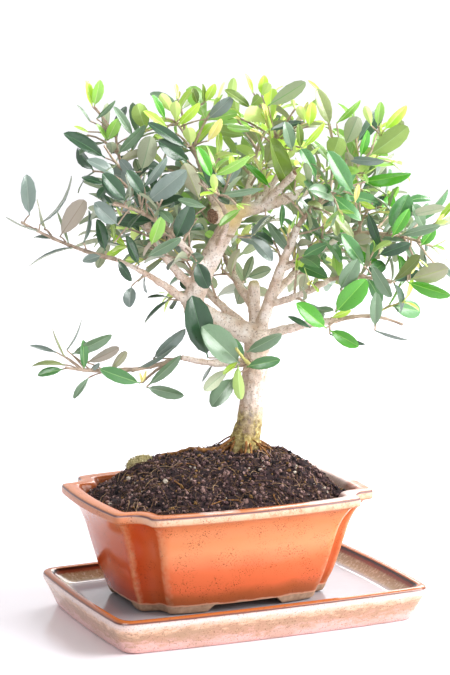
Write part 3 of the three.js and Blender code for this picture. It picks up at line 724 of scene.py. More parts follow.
def limbTube(curve, radii):
    tube = startFrom(bpy.ops.curve.primitive_bezier_curve_add)
    for point, end, radius in zip(tube.data.splines[0].bezier_points, (curve.start, curve.tip), radii):
        handle = end + (curve.control - end) * 2 / 3
        point.handle_left_type = point.handle_right_type = "FREE"
        point.co = toPart @ end
        point.handle_left = point.handle_right = toPart @ handle
        point.radius = radius
    tube.data.bevel_depth = mm
    tube.data.bevel_resolution = bark["tubeRound"]
    tube.data.resolution_u = bark["tubeSteps"]
    tube.data.use_fill_caps = True
    bpy.ops.object.convert(target="MESH")
    return bpy.context.object


def rootToes():
    # the flare at the trunk's foot: short roots that spread into the soil
    draw = seeded(bark["toeSeed"])
    (out, high), (sag, drop) = bark["toeStart"], bark["toeBow"]
    toes = []
    for i in range(bark["toes"]):
        heading = headingAt(fullTurn * (i + bark["toeStray"] * draw()) / bark["toes"])
        tip = heading * between(bark["toeReach"], draw) - up * bark["toeDepth"]
        toes.append(Bow(heading * out + up * high, tip, heading * -sag - up * drop))
    return toes


def roughen(piece):
    # relief: long swells, fine grain along the limb, and warts
    mesh = piece.data
    places, normals = np.empty(len(mesh.vertices) * 3), np.empty(len(mesh.vertices) * 3)
    mesh.vertices.foreach_get("co", places)
    mesh.vertices.foreach_get("normal", normals)
    pushes = []
    for place in places.reshape(-1, 3) / mm:
        place = Vector(place)
        stretched = Vector((place.x, place.y, place.z * bark["grainStretch"]))
        push = bark["relief"] * noise.noise(place / bark["reliefSize"])
        push += bark["grain"] * noise.noise(stretched / bark["grainSize"])
        nearest = noise.voronoi(place / bark["wartSize"])[0][0]
        pushes.append(push + bark["wart"] * max(0, 1 - nearest / bark["wartEdge"]))
    mesh.vertices.foreach_set("co", places + normals * np.repeat(pushes, 3) * mm)
    mesh.update()


def markCuts(piece, curves):
    # the second material on the faces of the pruning cuts
    for limb in woodPlan:
        if limb.name not in cutEnds:
            continue
        side, curve = cutEnds[limb.name], curves[limb.name]
        end = toPart @ (curve.tip if side else curve.start)
        facing = (toPart.to_3x3() @ curve.tangentAt(side)).normalized() * (1 if side else -1)
        reach, depth = limb.radii[side] * bark["cutReach"] * mm, bark["cutDepth"] * mm
        for face in piece.data.polygons:
            offset = face.center - end
            if offset.length < reach and offset.dot(facing) > -depth:
                if face.normal.dot(facing) > bark["cutFacing"]:
                    face.material_index = 1


def makeBark(curves, barkMaterial, woodMaterial):
    tubes = [limbTube(curves[limb.name], limb.radii) for limb in woodPlan]
    tubes += [limbTube(toe, bark["toeRadii"]) for toe in rootToes()]
    makeActive(tubes[0])
    for tube in tubes:
        tube.select_set(True)
    bpy.ops.object.join()
    piece = bpy.context.object
    piece.name = piece.data.name = "trunk_and_boughs"
    applyModifier(piece, "REMESH", mode="VOXEL", voxel_size=bark["voxel"] * mm)
    applyModifier(piece, "SMOOTH", factor=bark["smoothShare"], iterations=bark["smoothSteps"])
    roughen(piece)
    piece.data.materials.clear()
    piece.data.materials.append(barkMaterial)
    piece.data.materials.append(woodMaterial)
    markCuts(piece, curves)
    smooth(piece)
    finishPiece(piece, "bark", *[limb.name for limb in limbPlan])


def oliveBark():
    # young olive bark: smooth pale tan with dark corky specks, green with algae and damp at the foot
    material, add = newMaterial("oliveBark")
    spot = add("TexCoord", out="Object")
    height = add("SeparateXYZ", {0: spot}, "Z")
    cloud, speck, fine = (
        add("TexNoise", {"Vector": spot, "Scale": perSize(size), "Detail": detail})
        for size, detail in ((9, 5), (0.85, 3), (0.7, 4))
    )
    scurf, algae = (
        add("TexNoise", {"Vector": spot, "Scale": perSize(size), "Detail": detail, "Roughness": roughness})
        for size, detail, roughness in ((2.4, 6, 0.7), (1.9, 5, 0.65))
    )
    colour = add("ValToRGB", {0: cloud}, stops=[(0.3, "#d2b6a0"), (0.7, "#fcf3ec"), (0.5, "#f0e0d3")])
    scurf = add("MapRange", {"Value": scurf, 1: 0.5, 2: 0.66, 4: 0.5})
    speck = add("MapRange", {"Value": speck, 1: 0.57, 2: 0.66, 4: 0.65})
    # painted shade: the side turned away from the light is browner, in patches
    facing = add("NewGeometry", out="Normal")
    paintedShade = add("VectorMath", {0: facing, 1: bark["shadedSide"]}, "Value", operation="DOT_PRODUCT")
    paintedShade = add("MapRange", {"Value": paintedShade, 1: 0.3, 2: 0.85})
    patchy = add("MapRange", {"Value": cloud, 1: 0.3, 2: 0.6, 3: 0.3, 4: 0.75})
    paintedShade = add("Math", {0: paintedShade, 1: patchy}, operation="MULTIPLY")
    layers = [(scurf, hexColour("#c49f80")), (speck, hexColour("#7e5a42")), (paintedShade, hexColour("#a07f58"))]
    for place, outer, inner, tint in bark["spots"]:
        near = add("VectorMath", {0: spot, 1: toPart @ Vector(place)}, "Value", operation="DISTANCE")
        near = add("MapRange", {"Value": near, 1: outer * mm, 2: inner * mm, 4: 0.7})
        layers.append((near, hexColour(tint)))
    # algae climb from the ground, in clouds
    top, full = ((treeSpot["place"][2] + bark[name]) * mm for name in ("dampTop", "dampFull"))
    damp = add("MapRange", {"Value": height, 1: top, 2: full})
    damp = add("Math", {0: damp, 1: cloud}, operation="MULTIPLY")
    damp = add("MapRange", {"Value": damp, 1: 0.12, 2: 0.32, 4: 0.92})
    algae = add("ValToRGB", {0: algae}, stops=[
        (0.36, "#4a3814"), (0.64, "#d2c284"), (0.46, "#86701f"), (0.54, "#a08e3c"),
    ])
    for share, tint in layers + [(damp, algae)]:
        colour = add("Mix", {0: share, 6: colour, 7: tint}, 2, data_type="RGBA")
    return coat(material, {
        "Base Color": colour, "Roughness": 0.75,
        "Normal": add("Bump", {"Height": fine, "Strength": 0.5, "Distance": 0.3 * mm}),
    })


# Foliage: stems, twigs and leaves by one seeded rule. Pairs of numbers are the least and the most.

growth = {
    "firstSeed": 101, "fineSeed": 901, "trunkAt": 0.68, "tipStop": 0.6,
    "stemRadii": (1.15, 0.55), "stemPitch": 7.5, "stemBare": 0.35,
    "twigRadii": (0.7, 0.4), "twigPitch": 8.4, "twigShare": (0.6, 1), "twigAngle": 58,
    "twigTurn": (-0.35, 0.35), "twigLift": 0.18, "twigMargin": 9, "twigBow": 0.09, "twigSag": (-0.5, 1.5),
    "twigBare": 0.2, "twigSeat": 0.3, "boughPitch": 8, "boughTwigs": 3, "boughShare": (0.45, 0.8),
    "sideChance": 0.45, "sideLength": (7, 13), "sideRadii": (0.48, 0.32), "sideAngle": 48, "sideMargin": 7,
    "sideBow": 0.5, "bladeBow": 0.6,
    "leafAngle": 60, "tipAngle": 38, "budAngle": 14, "leafTurn": (-0.5, 0.5), "leafRoll": (-1, 1),
    "leafLift": 0.2, "leafSeat": 0.25, "leafWidth": (0.31, 0.46), "leafBend": (-0.4, 1),
    "leafFold": (0.04, 0.42),
    "leafCamber": (0.04, 0.16), "leafTwist": (-0.7, 0.7), "leafOut": 0.9, "centre": (0, 6, 98),
    "youngLength": (7, 14), "youngWidth": (0.27, 0.4), "leafShorter": (1, 0.82, 0.66), "budChance": 0.4,
    "budLength": 0.6, "limbGap": 0.8, "leafGap": 6.3, "budGap": 2.2,
    # where a leaf, a twig and a side shoot are tested for room, and the share of a leaf's width that counts
    "leafTests": (0.2, 0.4, 0.6, 0.8, 1), "twigTests": (0.3, 0.6, 1), "sideTests": (0.6, 1), "testWidth": 0.35,
}
# leaf colours: upper face, underside and midrib
leafTints = {
    "deep": ("#2b5133", "#8c9c7c", "#4c764e"),
    "grey": ("#788a80", "#b0b9a6", "#909e92"),
    "sage": ("#6c8a68", "#aeb798", "#8aa482"),
    "green": ("#4b8546", "#a3b48a", "#7fae68"),
    "olive": ("#8b9a5c", "#b2b296", "#a9b47a"),
    "fresh": ("#8cc24e", "#a2c066", "#b4d284"),
    "vivid": ("#4ca41c", "#a2d664", "#84ca4c"),
    # lime: young leaves, their bright colour partly painted light that stands for light shining through them
    "lime": ("#bfe84c", "#d8f090", "#d4ee8c"),
    "herb": ("#68842a", "#879c4e", "#9ab062"),
    "bud": ("#f2e884", "#f2ea9a", "#f4eeac"),
    "dry": ("#a69d8d", "#aea595", "#9a8e7c"),
}
# how often each tint falls to a spray, how often its tip is young, and the length of its leaves
toneShares = {
    "silver": ({"grey": 0.4, "deep": 0.28, "sage": 0.2, "olive": 0.07, "dry": 0.05}, 0.1, (11, 19)),
    "shade": ({"deep": 0.46, "sage": 0.22, "grey": 0.18, "green": 0.14}, 0.28, (11, 20)),
    "green": ({"green": 0.3, "deep": 0.26, "sage": 0.24, "olive": 0.1, "vivid": 0.1}, 0.36, (13, 23)),
    "dark": ({"deep": 0.75, "green": 0.25}, 0.4, (17, 25)),
    "sun": (
        {"green": 0.18, "fresh": 0.24, "lime": 0.1, "sage": 0.2, "olive": 0.16, "deep": 0.12}, 0.85, (12, 22),
    ),
}
youngShares = {"lime": 0.62, "fresh": 0.26, "vivid": 0.12}
# leaves that stand out from the front, by carrier: share along it, root, tip, tint, width, roll, bend
bladePlan = {
    "leaves_left_tip": [
        (0.97, (-100, -15, 114), (-101, -17, 133), "grey", 0.4, 0, 0.2),
        (0.86, (-96, -15, 107), (-112, -20, 110), "grey", 0.2, 70, -0.5),
        (0.8, (-95, -15, 110), (-72, -18, 125), "grey", 0.22, 70, 0.9),
        (0.5, (-86, -14, 104), (-73, -20, 123), "dry", 0.38, 175, 0.3),
        (0.42, (-80, -13, 99), (-102, -16, 95), "grey", 0.2, 60, 0.5),
        (0.1, (-65, -12, 97), (-68, -18, 112), "deep", 0.4, 15, 0.2),
        (0.3, (-75, -14, 101), (-69, -20, 115), "grey", 0.26, 50, 0.6),
        (0.15, (-67, -14, 95), (-75, -18, 93), "grey", 0.5, 0, 0.3),
    ],
    "bough_left_tip": [
        (0.62, (-53, -9, 80), (-54, -14, 71), "grey", 0.66, 10, 0.3),
        (0.06, (-36, -6, 73), (-48, -10, 64), "deep", 0.28, 50, 0.3),
        (0.75, (-49, -16, 91), (-57, -22, 106), "deep", 0.34, 20, -0.4),
        (0.95, (-59, -14, 93), (-53, -19, 84), "deep", 0.4, 10, 0.3),
    ],
    "leaves_left_up": [
        (0.62, (-65, -6, 140), (-83, -10, 153), "deep", 0.36, 20, 0.4),
        (1, (-71, -4, 164), (-73, -7, 176), "lime", 0.4, 25, 0.2),
        (1, (-70, -4, 164), (-67, -7, 176), "fresh", 0.46, 10, 0.2),
        (1, (-72, -4, 157), (-77, -6, 165), "sage", 0.2, 40, 0.3),
        (1, (-69, -4, 158), (-60, -8, 166), "sage", 0.24, 20, 0.3),
        (1, (-73, -4, 152), (-79, -6, 155), "lime", 0.26, 20, 0.3),
        (1, (-64, -5, 148), (-68, -9, 156), "fresh", 0.3, 30, 0.3),
        (1, (-64, -5, 148), (-59, -10, 158), "fresh", 0.48, 0, 0.3),
        (0.9, (-62, -6, 142), (-62, -9, 148), "sage", 0.75, 160, 0.2),
        (0.9, (-52, -5, 150), (-60, -9, 164), "sage", 0.28, 15, 0.3),
        (0.5, (-48, -9, 134), (-43, -12, 151), "sage", 0.52, 165, 0.2),
        (0.75, (-59, -8, 142), (-46, -12, 155), "sage", 0.3, 10, 0.3),
        (0.35, (-65, -10, 128), (-75, -14, 132), "deep", 0.34, 15, 0.4),
    ],
    "leaves_left_front": [
        (0.35, (-45, -36, 122), (-27, -40, 137), "grey", 0.42, 0, 0.3),
        (0.8, (-54, -42, 124), (-64, -46, 136), "deep", 0.46, 0, 0.3),
        (0.85, (-54, -40, 123), (-64, -45, 135), "deep", 0.52, -15, 0.3),
        (0.6, (-46, -36, 125), (-53, -41, 137), "deep", 0.44, 10, 0.3),
        (0.5, (-46, -34, 129), (-35, -38, 142), "grey", 0.3, 20, 0.4),
        (0.75, (-58, -36, 112), (-68, -42, 122), "grey", 0.52, -10, 0.3),
        (0.6, (-60, -30, 103), (-61, -36, 122), "herb", 0.22, 40, 0.3),
        (0.3, (-43, -30, 102), (-38, -38, 115), "fresh", 0.42, 10, 0.3),
        (0.08, (-18, -26, 119), (-30, -31, 123), "sage", 0.3, 5, 0.3),
    ],
    "leaves_front": [
        (0.85, (-15, -44, 134), (-21, -48, 148), "vivid", 0.36, 10, 0.3),
        (0.75, (-14, -42, 135), (2, -47, 143), "fresh", 0.3, 25, 0.3),
        (0.5, (-14, -34, 125), (8, -38, 128), "sage", 0.17, 15, 0.3),
    ],
    "bough_left_front": [
        (0.75, (-22, -36, 95), (-17, -42, 84), "deep", 0.6, 0, 0.3),
        (0.85, (-45, -26, 96), (-30, -33, 105), "sage", 0.3, 5, 0.3),
        (0.95, (-32, -26, 104), (-25, -31, 120), "deep", 0.5, 0, 0.3),
    ],
    "bough_crown": [
        (0.75, (24, -1, 122), (7, -10, 151), "herb", 0.34, 22, -0.5),
        (0.5, (12, -4, 126), (1, -8, 138), "vivid", 0.3, 30, 0.3),
        (0.5, (10, -4, 111), (21, -9, 96), "sage", 0.28, 10, 0.3),
    ],
    "leaves_top_mid": [
        (0.9, (11, -2, 164), (29, -6, 175), "green", 0.34, 165, 0.2),
        (1, (4, -1, 170), (1, -4, 179), "lime", 0.3, 30, 0.2),
        (1, (8, -1, 169), (9, -5, 178), "lime", 0.5, 0, 0.2),
        (1, (8, -1, 169), (12, -6, 175), "lime", 0.5, 160, 0.2),
        (1, (3, -2, 163), (-8, -8, 172), "herb", 0.34, 20, 0.4),
        (1, (3, -2, 164), (8, -9, 169), "fresh", 0.5, 165, 0.2),
        (0.6, (30, -8, 155), (31, -13, 166), "lime", 0.48, 10, 0.2),
        (0.6, (28, -8, 157), (25, -12, 165), "lime", 0.46, 160, 0.2),
        (0.5, (26, -10, 145), (25, -15, 156), "herb", 0.36, 15, 0.2),
        (0.5, (27, -10, 145), (37, -16, 156), "lime", 0.26, 25, 0.3),
        (0.4, (22, -12, 144), (19, -17, 157), "sage", 0.46, 10, 0.3),
        (0.7, (28, -6, 157), (12, -9, 154), "deep", 0.26, 20, 0.3),
    ],
    "leaves_top_right": [
        (0.85, (58, -8, 141), (77, -14, 155), "fresh", 0.4, 165, 0.3),
        (0.5, (53, -10, 129), (77, -16, 132), "vivid", 0.32, 25, 0.3),
        (0.3, (40, -4, 155), (34, -8, 172), "olive", 0.4, 10, 0.3),
        (0.3, (36, -3, 170), (30, -6, 176), "lime", 0.26, 20, 0.3),
        (0.35, (43, -4, 156), (54, -9, 166), "fresh", 0.26, 25, 0.3),
        (0.5, (47, -6, 146), (53, -11, 160), "sage", 0.52, 165, 0.2),
        (1, (65, -6, 153), (75, -11, 164), "lime", 0.36, 15, 0.3),
        (1, (62, -6, 155), (63, -9, 166), "fresh", 0.42, 0, 0.2),
        (1, (59, -6, 155), (56, -10, 165), "lime", 0.36, 165, 0.2),
        (0.6, (54, -10, 141), (57, -15, 153), "vivid", 0.36, 20, 0.2),
        (0.2, (40, -12, 139), (44, -18, 151), "fresh", 0.68, 165, 0.2),
        (0.4, (47, -12, 140), (64, -18, 139), "grey", 0.26, 10, 0.3),
    ],
    "leaves_right_front": [
        (0.95, (49, -39, 126), (38, -46, 146), "green", 0.36, 10, 0.3),
    ],
    "leaves_right_side": [
        (0.75, (77, -16, 84), (95, -22, 90), "olive", 0.46, 165, 0.2),
        (0.72, (76, -17, 83), (95, -24, 77), "vivid", 0.34, 15, 0.3),
        (0.7, (68, -18, 107), (75, -24, 124), "green", 0.55, 0, 0.3),
        (0.4, (58, -16, 90), (68, -22, 77), "deep", 0.32, 10, 0.3),
        (0.2, (51, -22, 121), (52, -26, 129), "bud", 0.3, 0, 0.3),
        (0.2, (53, -22, 121), (59, -28, 119), "lime", 0.34, 10, 0.3),
        (0.6, (68, -24, 105), (75, -29, 118), "vivid", 0.36, 0, 0.3),
        (0.3, (57, -20, 116), (62, -25, 101), "deep", 0.3, 10, 0.3),
        (0.65, (72, -18, 105), (90, -23, 110), "sage", 0.26, 5, 0.3),
        (0.45, (62, -20, 96), (76, -25, 102), "deep", 0.36, 0, 0.3),
        (0.95, (82, -16, 100), (88, -20, 108), "vivid", 0.5, 10, 0.3),
    ],
    "leaves_right_mid": [
        (0.25, (42, -26, 70), (55, -34, 86), "vivid", 0.5, 0, 0.3),
        (0.45, (44, -28, 81), (51, -34, 95), "sage", 0.5, 0, 0.3),
        (0.7, (55, -28, 92), (45, -33, 107), "green", 0.4, 10, 0.3),
        (0.75, (58, -29, 93), (67, -33, 78), "sage", 0.36, 5, 0.3),
    ],
    "leaves_right_low": [
        (0.08, (38, -22, 62), (25, -30, 74), "vivid", 0.42, 0, 0.4),
        (0.6, (61, -16, 60), (76, -20, 55), "grey", 0.14, 30, 0.3),
        (0.55, (61, -17, 62), (61, -22, 78), "sage", 0.38, 0, 0.3),
    ],
    "leaves_top_left": [
        (0.95, (-46, -2, 152), (-50, -8, 166), "fresh", 0.52, 170, 0.2),
        (1, (-37, -3, 158), (-42, -8, 169), "vivid", 0.32, 20, 0.3),
        (1, (-36, -3, 154), (-46, -9, 162), "lime", 0.3, 15, 0.3),
        (1, (-34, -2, 161), (-39, -4, 170), "lime", 0.5, 160, 0.2),
        (1, (-32, -4, 157), (-32, -9, 167), "lime", 0.46, 165, 0.2),
        (1, (-31, -4, 155), (-21, -10, 165), "lime", 0.34, 15, 0.3),
        (0.95, (-22, 0, 165), (-24, -3, 172), "herb", 0.5, 10, 0.2),
        (1, (-19, -1, 165), (-19, -4, 174), "herb", 0.32, 30, 0.2),
        (1, (-18, -1, 166), (-14, -5, 174), "lime", 0.46, 0, 0.2),
        (0.6, (-25, -6, 146), (-26, -11, 155), "lime", 0.6, 160, 0.2),
        (0.5, (-17, -8, 148), (-11, -13, 158), "bud", 0.4, 10, 0.3),
        (0.5, (-27, -8, 145), (-44, -14, 157), "deep", 0.26, 10, 0.3),
        (0.9, (-17, -3, 158), (-6, -8, 168), "grey", 0.42, 0, 0.3),
    ],
    "bough_crown_left": [
        (0.6, (-21, -10, 121), (-28, -15, 139), "olive", 0.4, 165, 0.2),
        (0.9, (-27, -6, 139), (-39, -14, 148), "deep", 0.5, 5, 0.3),
    ],
    "bough_right": [
        (0.9, (40, -16, 60), (53, -22, 54), "vivid", 0.42, -10, 0.3),
        (0.9, (40, -14, 58), (56, -18, 53), "deep", 0.2, 20, 0.3),
        (0.75, (31, -14, 61), (21, -18, 67), "deep", 0.26, 15, 0.3),
        (0.9, (41, -15, 66), (49, -20, 70), "lime", 0.32, 0, 0.3),
    ],
    "bough_front": [
        (0.85, (-2, -24, 118), (-12, -28, 111), "fresh", 0.36, 20, 0.3),
    ],
    "leaves_low_left": [
        (0.86, (-88, -18, 50), (-100, -20, 54), "grey", 0.26, 30, 0.2),
        (0.84, (-84, -18, 48), (-92, -22, 61), "olive", 0.18, 55, -0.4),
        (0.82, (-83, -18, 51), (-73, -20, 64), "grey", 0.12, 60, 0.5),
        (0.78, (-81, -18, 49), (-62, -22, 58), "sage", 0.3, 15, 0.3),
        (0.64, (-75, -18, 42), (-75, -22, 56), "green", 0.32, 10, 0.2),
        (0.88, (-84, -18, 44), (-99, -22, 48), "olive", 0.26, 40, 0.8),
        (0.9, (-85, -18, 42), (-97, -20, 40), "green", 0.4, 15, 0.4),
        (0.62, (-73, -18, 38), (-80, -22, 29), "sage", 0.32, 10, 0.3),
        (0.12, (-49, -16, 35), (-67, -22, 42), "green", 0.34, -10, 0.3),
        (0.66, (-74, -17, 45), (-56, -21, 52), "dry", 0.26, 160, 0.5),
        (0.38, (-63, -15, 41), (-54, -19, 51), "olive", 0.3, 165, 0.3),
        (0.08, (-45, -16, 34), (-30, -22, 48), "sage", 0.26, 15, 0.3),
        (0.05, (-46, -16, 33), (-29, -22, 30), "sage", 0.34, 5, 0.4),
        (0.6, (-72, -17, 41), (-68, -20, 45), "grey", 0.45, 15, 0.2),
        (0.1, (-48, -16, 35), (-49, -17, 40), "bud", 0.3, 15, 0.2),
        (0.1, (-48, -16, 35), (-46, -17, 41), "bud", 0.26, 15, 0.2),
    ],
    "bough_low_left": [
        (0.7, (-43, -12, 46), (-28, -18, 60), "grey", 0.3, 10, 0.3),
        (0.95, (-53, -14, 40), (-32, -20, 50), "grey", 0.16, 40, 0.4),
        (0.3, (-15, -6, 42), (-20, -10, 35), "grey", 0.22, 20, 0.3),
    ],
    "leaves_trunk": [
        (0.5, (-17, -16, 47), (-25, -22, 76), "deep", 0.44, -10, 0.35),
        (0.3, (-2, -15, 44), (-18, -29, 62), "sage", 0.5, 0, 0.4),
        (0.28, (0, -10, 46), (-6, -13, 56), "green", 0.42, 20, 0.3),
        (0.24, (1, -12, 49), (17, -18, 58), "sage", 0.36, 10, 0.3),
        (0.2, (1, -12, 42), (16, -18, 47), "green", 0.36, -15, 0.3),
        (0.22, (-7, -12, 41), (-20, -18, 32), "sage", 0.36, 160, 0.3),
        (0.2, (-5, -12, 37), (-15, -20, 25), "sage", 0.52, 0, 0.4),
        (0.26, (-3, -13, 43), (-3, -18, 27), "fresh", 0.34, 150, 0.3),
        (0.3, (-3, -14, 45), (-10, -18, 40), "lime", 0.36, 20, 0.3),
    ],
}
bladeShape = {"camber": 0.16, "fold": 0.3, "base": 0.66, "blunt": 0.56, "twist": 0.5}
# places on such a leaf that stay in sight, the share of its width around them, and its middle
bladeSight = {"stops": (0.3, 0.6, 0.85), "share": 0.3, "middle": 0.6}
# parts of the limbs that stay in sight from the front: place, radius
sights = [
    ((-14.8, -6, 112.6), 4.8), ((-5, 4, 108), 4.5), ((-12, 2, 97), 5), ((-19, 0, 85), 5), ((14, -4, 123), 3.5),
    ((22, -10, 131.5), 3), ((12, -4, 80), 4.5), ((18, -6, 95), 3.5), ((2, 0, 64), 6),
]
nearlyNone = 0.01


def squareTo(direction, axis):
    return direction - axis * direction.dot(axis)


def frameAt(curve, along):
    # the tangent and two directions square to it that don't spin along the curve
    tangent = curve.tangentAt(along)
    chord = (curve.pointAt(1) - curve.pointAt(0)).normalized()
    level = up.cross(chord)
    if level.length_squared < nearlyNone:
        level = across
    level = squareTo(level, tangent).normalized()
    return tangent, level, tangent.cross(level)


def branchAt(curve, along, turn, angle, lift):
    tangent, level, rise = frameAt(curve, along)
    outwards = level * math.cos(turn) + rise * math.sin(turn)
    angle = math.radians(angle)
    return (tangent * math.cos(angle) + outwards * math.sin(angle) + up * lift).normalized(), outwards


def pickTint(shares, draw):
    place = draw()
    for tint, share in shares.items():
        place -= share
        if place < 0:
            return tint
    return tint


class Crown:
    # everything that grows, in the tree's frame: shoots, and leaves that keep clear of limbs and of each other
    def __init__(self, curves):
        self.eye = toPart.inverted() @ Vector(view["place"])
        self.sights = []
        for place, radius in sights:
            self.keepSight(Vector(place), radius)
        self.stems = {mass.name: stemCurve(curves, mass) for mass in massPlan}
        self.carriers = {**curves, **self.stems}
        self.shoots = []
        self.leaves = []
        self.middles = np.zeros((0, 3))
        rows = []
        for limb in woodPlan:
            points = curves[limb.name].points()
            for point, along in zip(points, np.linspace(0, 1, len(points))):
                rows.append((*point, mix(*limb.radii, along)))
        self.limbs = np.array(rows)

    def keepSight(self, place, radius):
        self.sights.append((np.array(place), np.array((self.eye - place).normalized()), radius))

    def hasRoom(self, points, half=0):
        # clear of the limbs, and not in front of what stays in sight
        gaps = np.linalg.norm(points[:, None] - self.limbs[None, :, :3], axis=2) - self.limbs[:, 3]
        if gaps.min() <= growth["limbGap"]:
            return False
        for place, towards, radius in self.sights:
            offsets = points - place
            ahead = offsets @ towards
            aside = np.linalg.norm(offsets - ahead[:, None] * towards, axis=1)
            if ((ahead > 0) & (aside < radius + half)).any():
                return False
        return True

    def keepLeaf(self, leaf, middle):
        self.leaves.append(leaf)
        self.middles = np.vstack([self.middles, middle])

    def addLeaf(self, leaf, space, gap):
        # a leaf that fits as it is or shorter, or none
        spine, reach = space
        for shorter in growth["leafShorter"]:
            trial = dict(leaf, length=leaf["length"] * shorter)
            line = np.array([leafSpine(trial, t)[0] for t in growth["leafTests"]])
            middle = line[len(line) // 2]
            far = np.linalg.norm(line[:, None] - spine[None], axis=2).min(1).max()
            crowded = len(self.middles) and np.linalg.norm(self.middles - middle, axis=1).min() < gap
            half = trial["length"] * trial["width"] * growth["testWidth"]
            if far < reach and not crowded and self.hasRoom(line, half):
                self.keepLeaf(trial, middle)
                return


def leafOn(curve, along, turn, angle, draw, tint, lengths, widths):
    turn += between(growth["leafTurn"], draw)
    heading, outwards = branchAt(curve, along, turn, angle, growth["leafLift"])
    root = curve.pointAt(along) + outwards * growth["leafSeat"]
    # the upper face turns to the light: up, and out of the crown
    upper = squareTo(up + (root - Vector(growth["centre"])).normalized() * growth["leafOut"], heading)
    if upper.length_squared < nearlyNone:
        upper = squareTo(across, heading)
    upper.normalize()
    upper.rotate(Matrix.Rotation(between(growth["leafRoll"], draw), 3, heading))
    return {
        "root": root, "camber": between(growth["leafCamber"], draw),
        "heading": heading, "upper": upper, "side": upper.cross(heading), "tint": tint,
        "length": between(lengths, draw), "width": between(widths, draw),
        "bend": between(growth["leafBend"], draw), "fold": between(growth["leafFold"], draw),
        "base": between(leafShape["base"], draw), "blunt": between(leafShape["blunt"], draw),
        "twist": between(growth["leafTwist"], draw),
    }


def leafSpine(leaf, t):
    # a point of the midrib and the blade's upward direction there: the blade bends back along its length
    bend = leaf["bend"]
    turn = bend * t
    ahead, down = t, 0
    if abs(bend) >= nearlyNone:
        ahead, down = math.sin(turn) / bend, (1 - math.cos(turn)) / bend
    place = leaf["root"] + (leaf["heading"] * ahead - leaf["upper"] * down) * leaf["length"]
    return place, leaf["upper"] * math.cos(turn) + leaf["heading"] * math.sin(turn)


def growLeaves(crown, shoot, space, draw, mass, tint, tipTint):
    # a pair of leaves at each node, each pair square to the one before, and a bud at a young tip
    youngSize = (growth["youngLength"], growth["youngWidth"])
    fullSize = (toneShares[mass.tone][2], growth["leafWidth"])
    youngTip = tipTint != tint
    for along, odd, last in shoot["nodes"]:
        if along < shoot["bare"]:
            continue
        angle = growth["tipAngle"] if last else growth["leafAngle"]
        size = youngSize if last and youngTip else fullSize
        for face in (odd, odd + 2):
            turn = shoot["phase"] + face * quarterTurn
            leaf = leafOn(shoot["curve"], along, turn, angle, draw, tipTint if last else tint, *size)
            if draw() < mass.thin:
                crown.addLeaf(leaf, space, growth["leafGap"])
        if last and youngTip and draw() < mass.thin:
            # the bud opens between the last pair
            for face in (odd + 1, odd + 3):
                turn = shoot["phase"] + face * quarterTurn
                budTint = "bud" if draw() < growth["budChance"] else tipTint
                leaf = leafOn(shoot["curve"], along, turn, growth["budAngle"], draw, budTint, *youngSize)
                leaf["length"] *= growth["budLength"]
                crown.addLeaf(leaf, space, growth["budGap"])


def newShoot(curve, radii, phase, kind, pitch, bare):
    # a node is a share along the shoot, whether it is an odd one, and whether it is the last
    count = max(1, round(curve.length / pitch))
    reach = 1 - growth["tipStop"] / curve.length
    nodes = [((k / count) * reach, k % 2, k == count) for k in range(1, count + 1)]
    return {"curve": curve, "radii": radii, "phase": phase, "kind": kind, "bare": bare, "nodes": nodes}


def growTwig(crown, curve, along, turn, length, fine):
    heading, outwards = branchAt(curve, along, turn, growth["twigAngle"], growth["twigLift"])
    start = curve.pointAt(along) + outwards * growth["twigSeat"]
    line = np.array([start + heading * length * t for t in growth["twigTests"]])
    bow = up * length * growth["twigBow"] * between(growth["twigSag"], fine)
    if not crown.hasRoom(line):
        return []
    bent = Bow(start, start + heading * length, bow)
    phase = fine() * quarterTurn
    return [newShoot(bent, growth["twigRadii"], phase, "wood", growth["twigPitch"], growth["twigBare"])]


def growSide(crown, twig, node, space, fine):
    # a green side shoot of a twig
    spine, reach = space
    along, odd, _ = node
    turn = twig["phase"] + (odd + 2 * round(fine())) * quarterTurn
    heading, _ = branchAt(twig["curve"], along, turn, growth["sideAngle"], growth["twigLift"])
    start = twig["curve"].pointAt(along)
    tip = start + heading * between(growth["sideLength"], fine)
    far = np.linalg.norm(spine - np.array(tip), axis=1).min()
    line = np.array([start.lerp(tip, t) for t in growth["sideTests"]])
    if far >= reach - growth["sideMargin"] or not crown.hasRoom(line):
        return []
    bent = Bow(start, tip, up * growth["sideBow"])
    phase = fine() * quarterTurn
    side = newShoot(bent, growth["sideRadii"], phase, "green", growth["twigPitch"], growth["twigBare"])
    return [dict(side, parent=twig)]


def stemCurve(curves, mass):
    along = growth["trunkAt"] if mass.bough == "trunk" else 1
    return Bow(startOn(curves, mass.bough, along), mass.end, mass.bow)


def growBlade(crown, carrier, along, root, tip, tint, width, roll, bend):
    # one leaf at a given place on a side twig of its own
    root, tip = Vector(root), Vector(tip)
    twig = Bow(crown.carriers[carrier].pointAt(along), root, up * growth["bladeBow"])
    crown.shoots.append(newShoot(twig, growth["sideRadii"], 0, "wood", growth["twigPitch"], 0))
    heading = (tip - root).normalized()
    upper = squareTo((crown.eye - root).normalized(), heading).normalized()
    upper.rotate(Matrix.Rotation(math.radians(roll), 3, heading))
    length = (tip - root).length
    crown.keepLeaf({
        "root": root, "heading": heading, "upper": upper, "side": upper.cross(heading), "tint": tint,
        "length": length, "width": width, "bend": bend, **bladeShape,
    }, root.lerp(tip, bladeSight["middle"]))
    for t in bladeSight["stops"]:
        crown.keepSight(root.lerp(tip, t), length * width * bladeSight["share"])


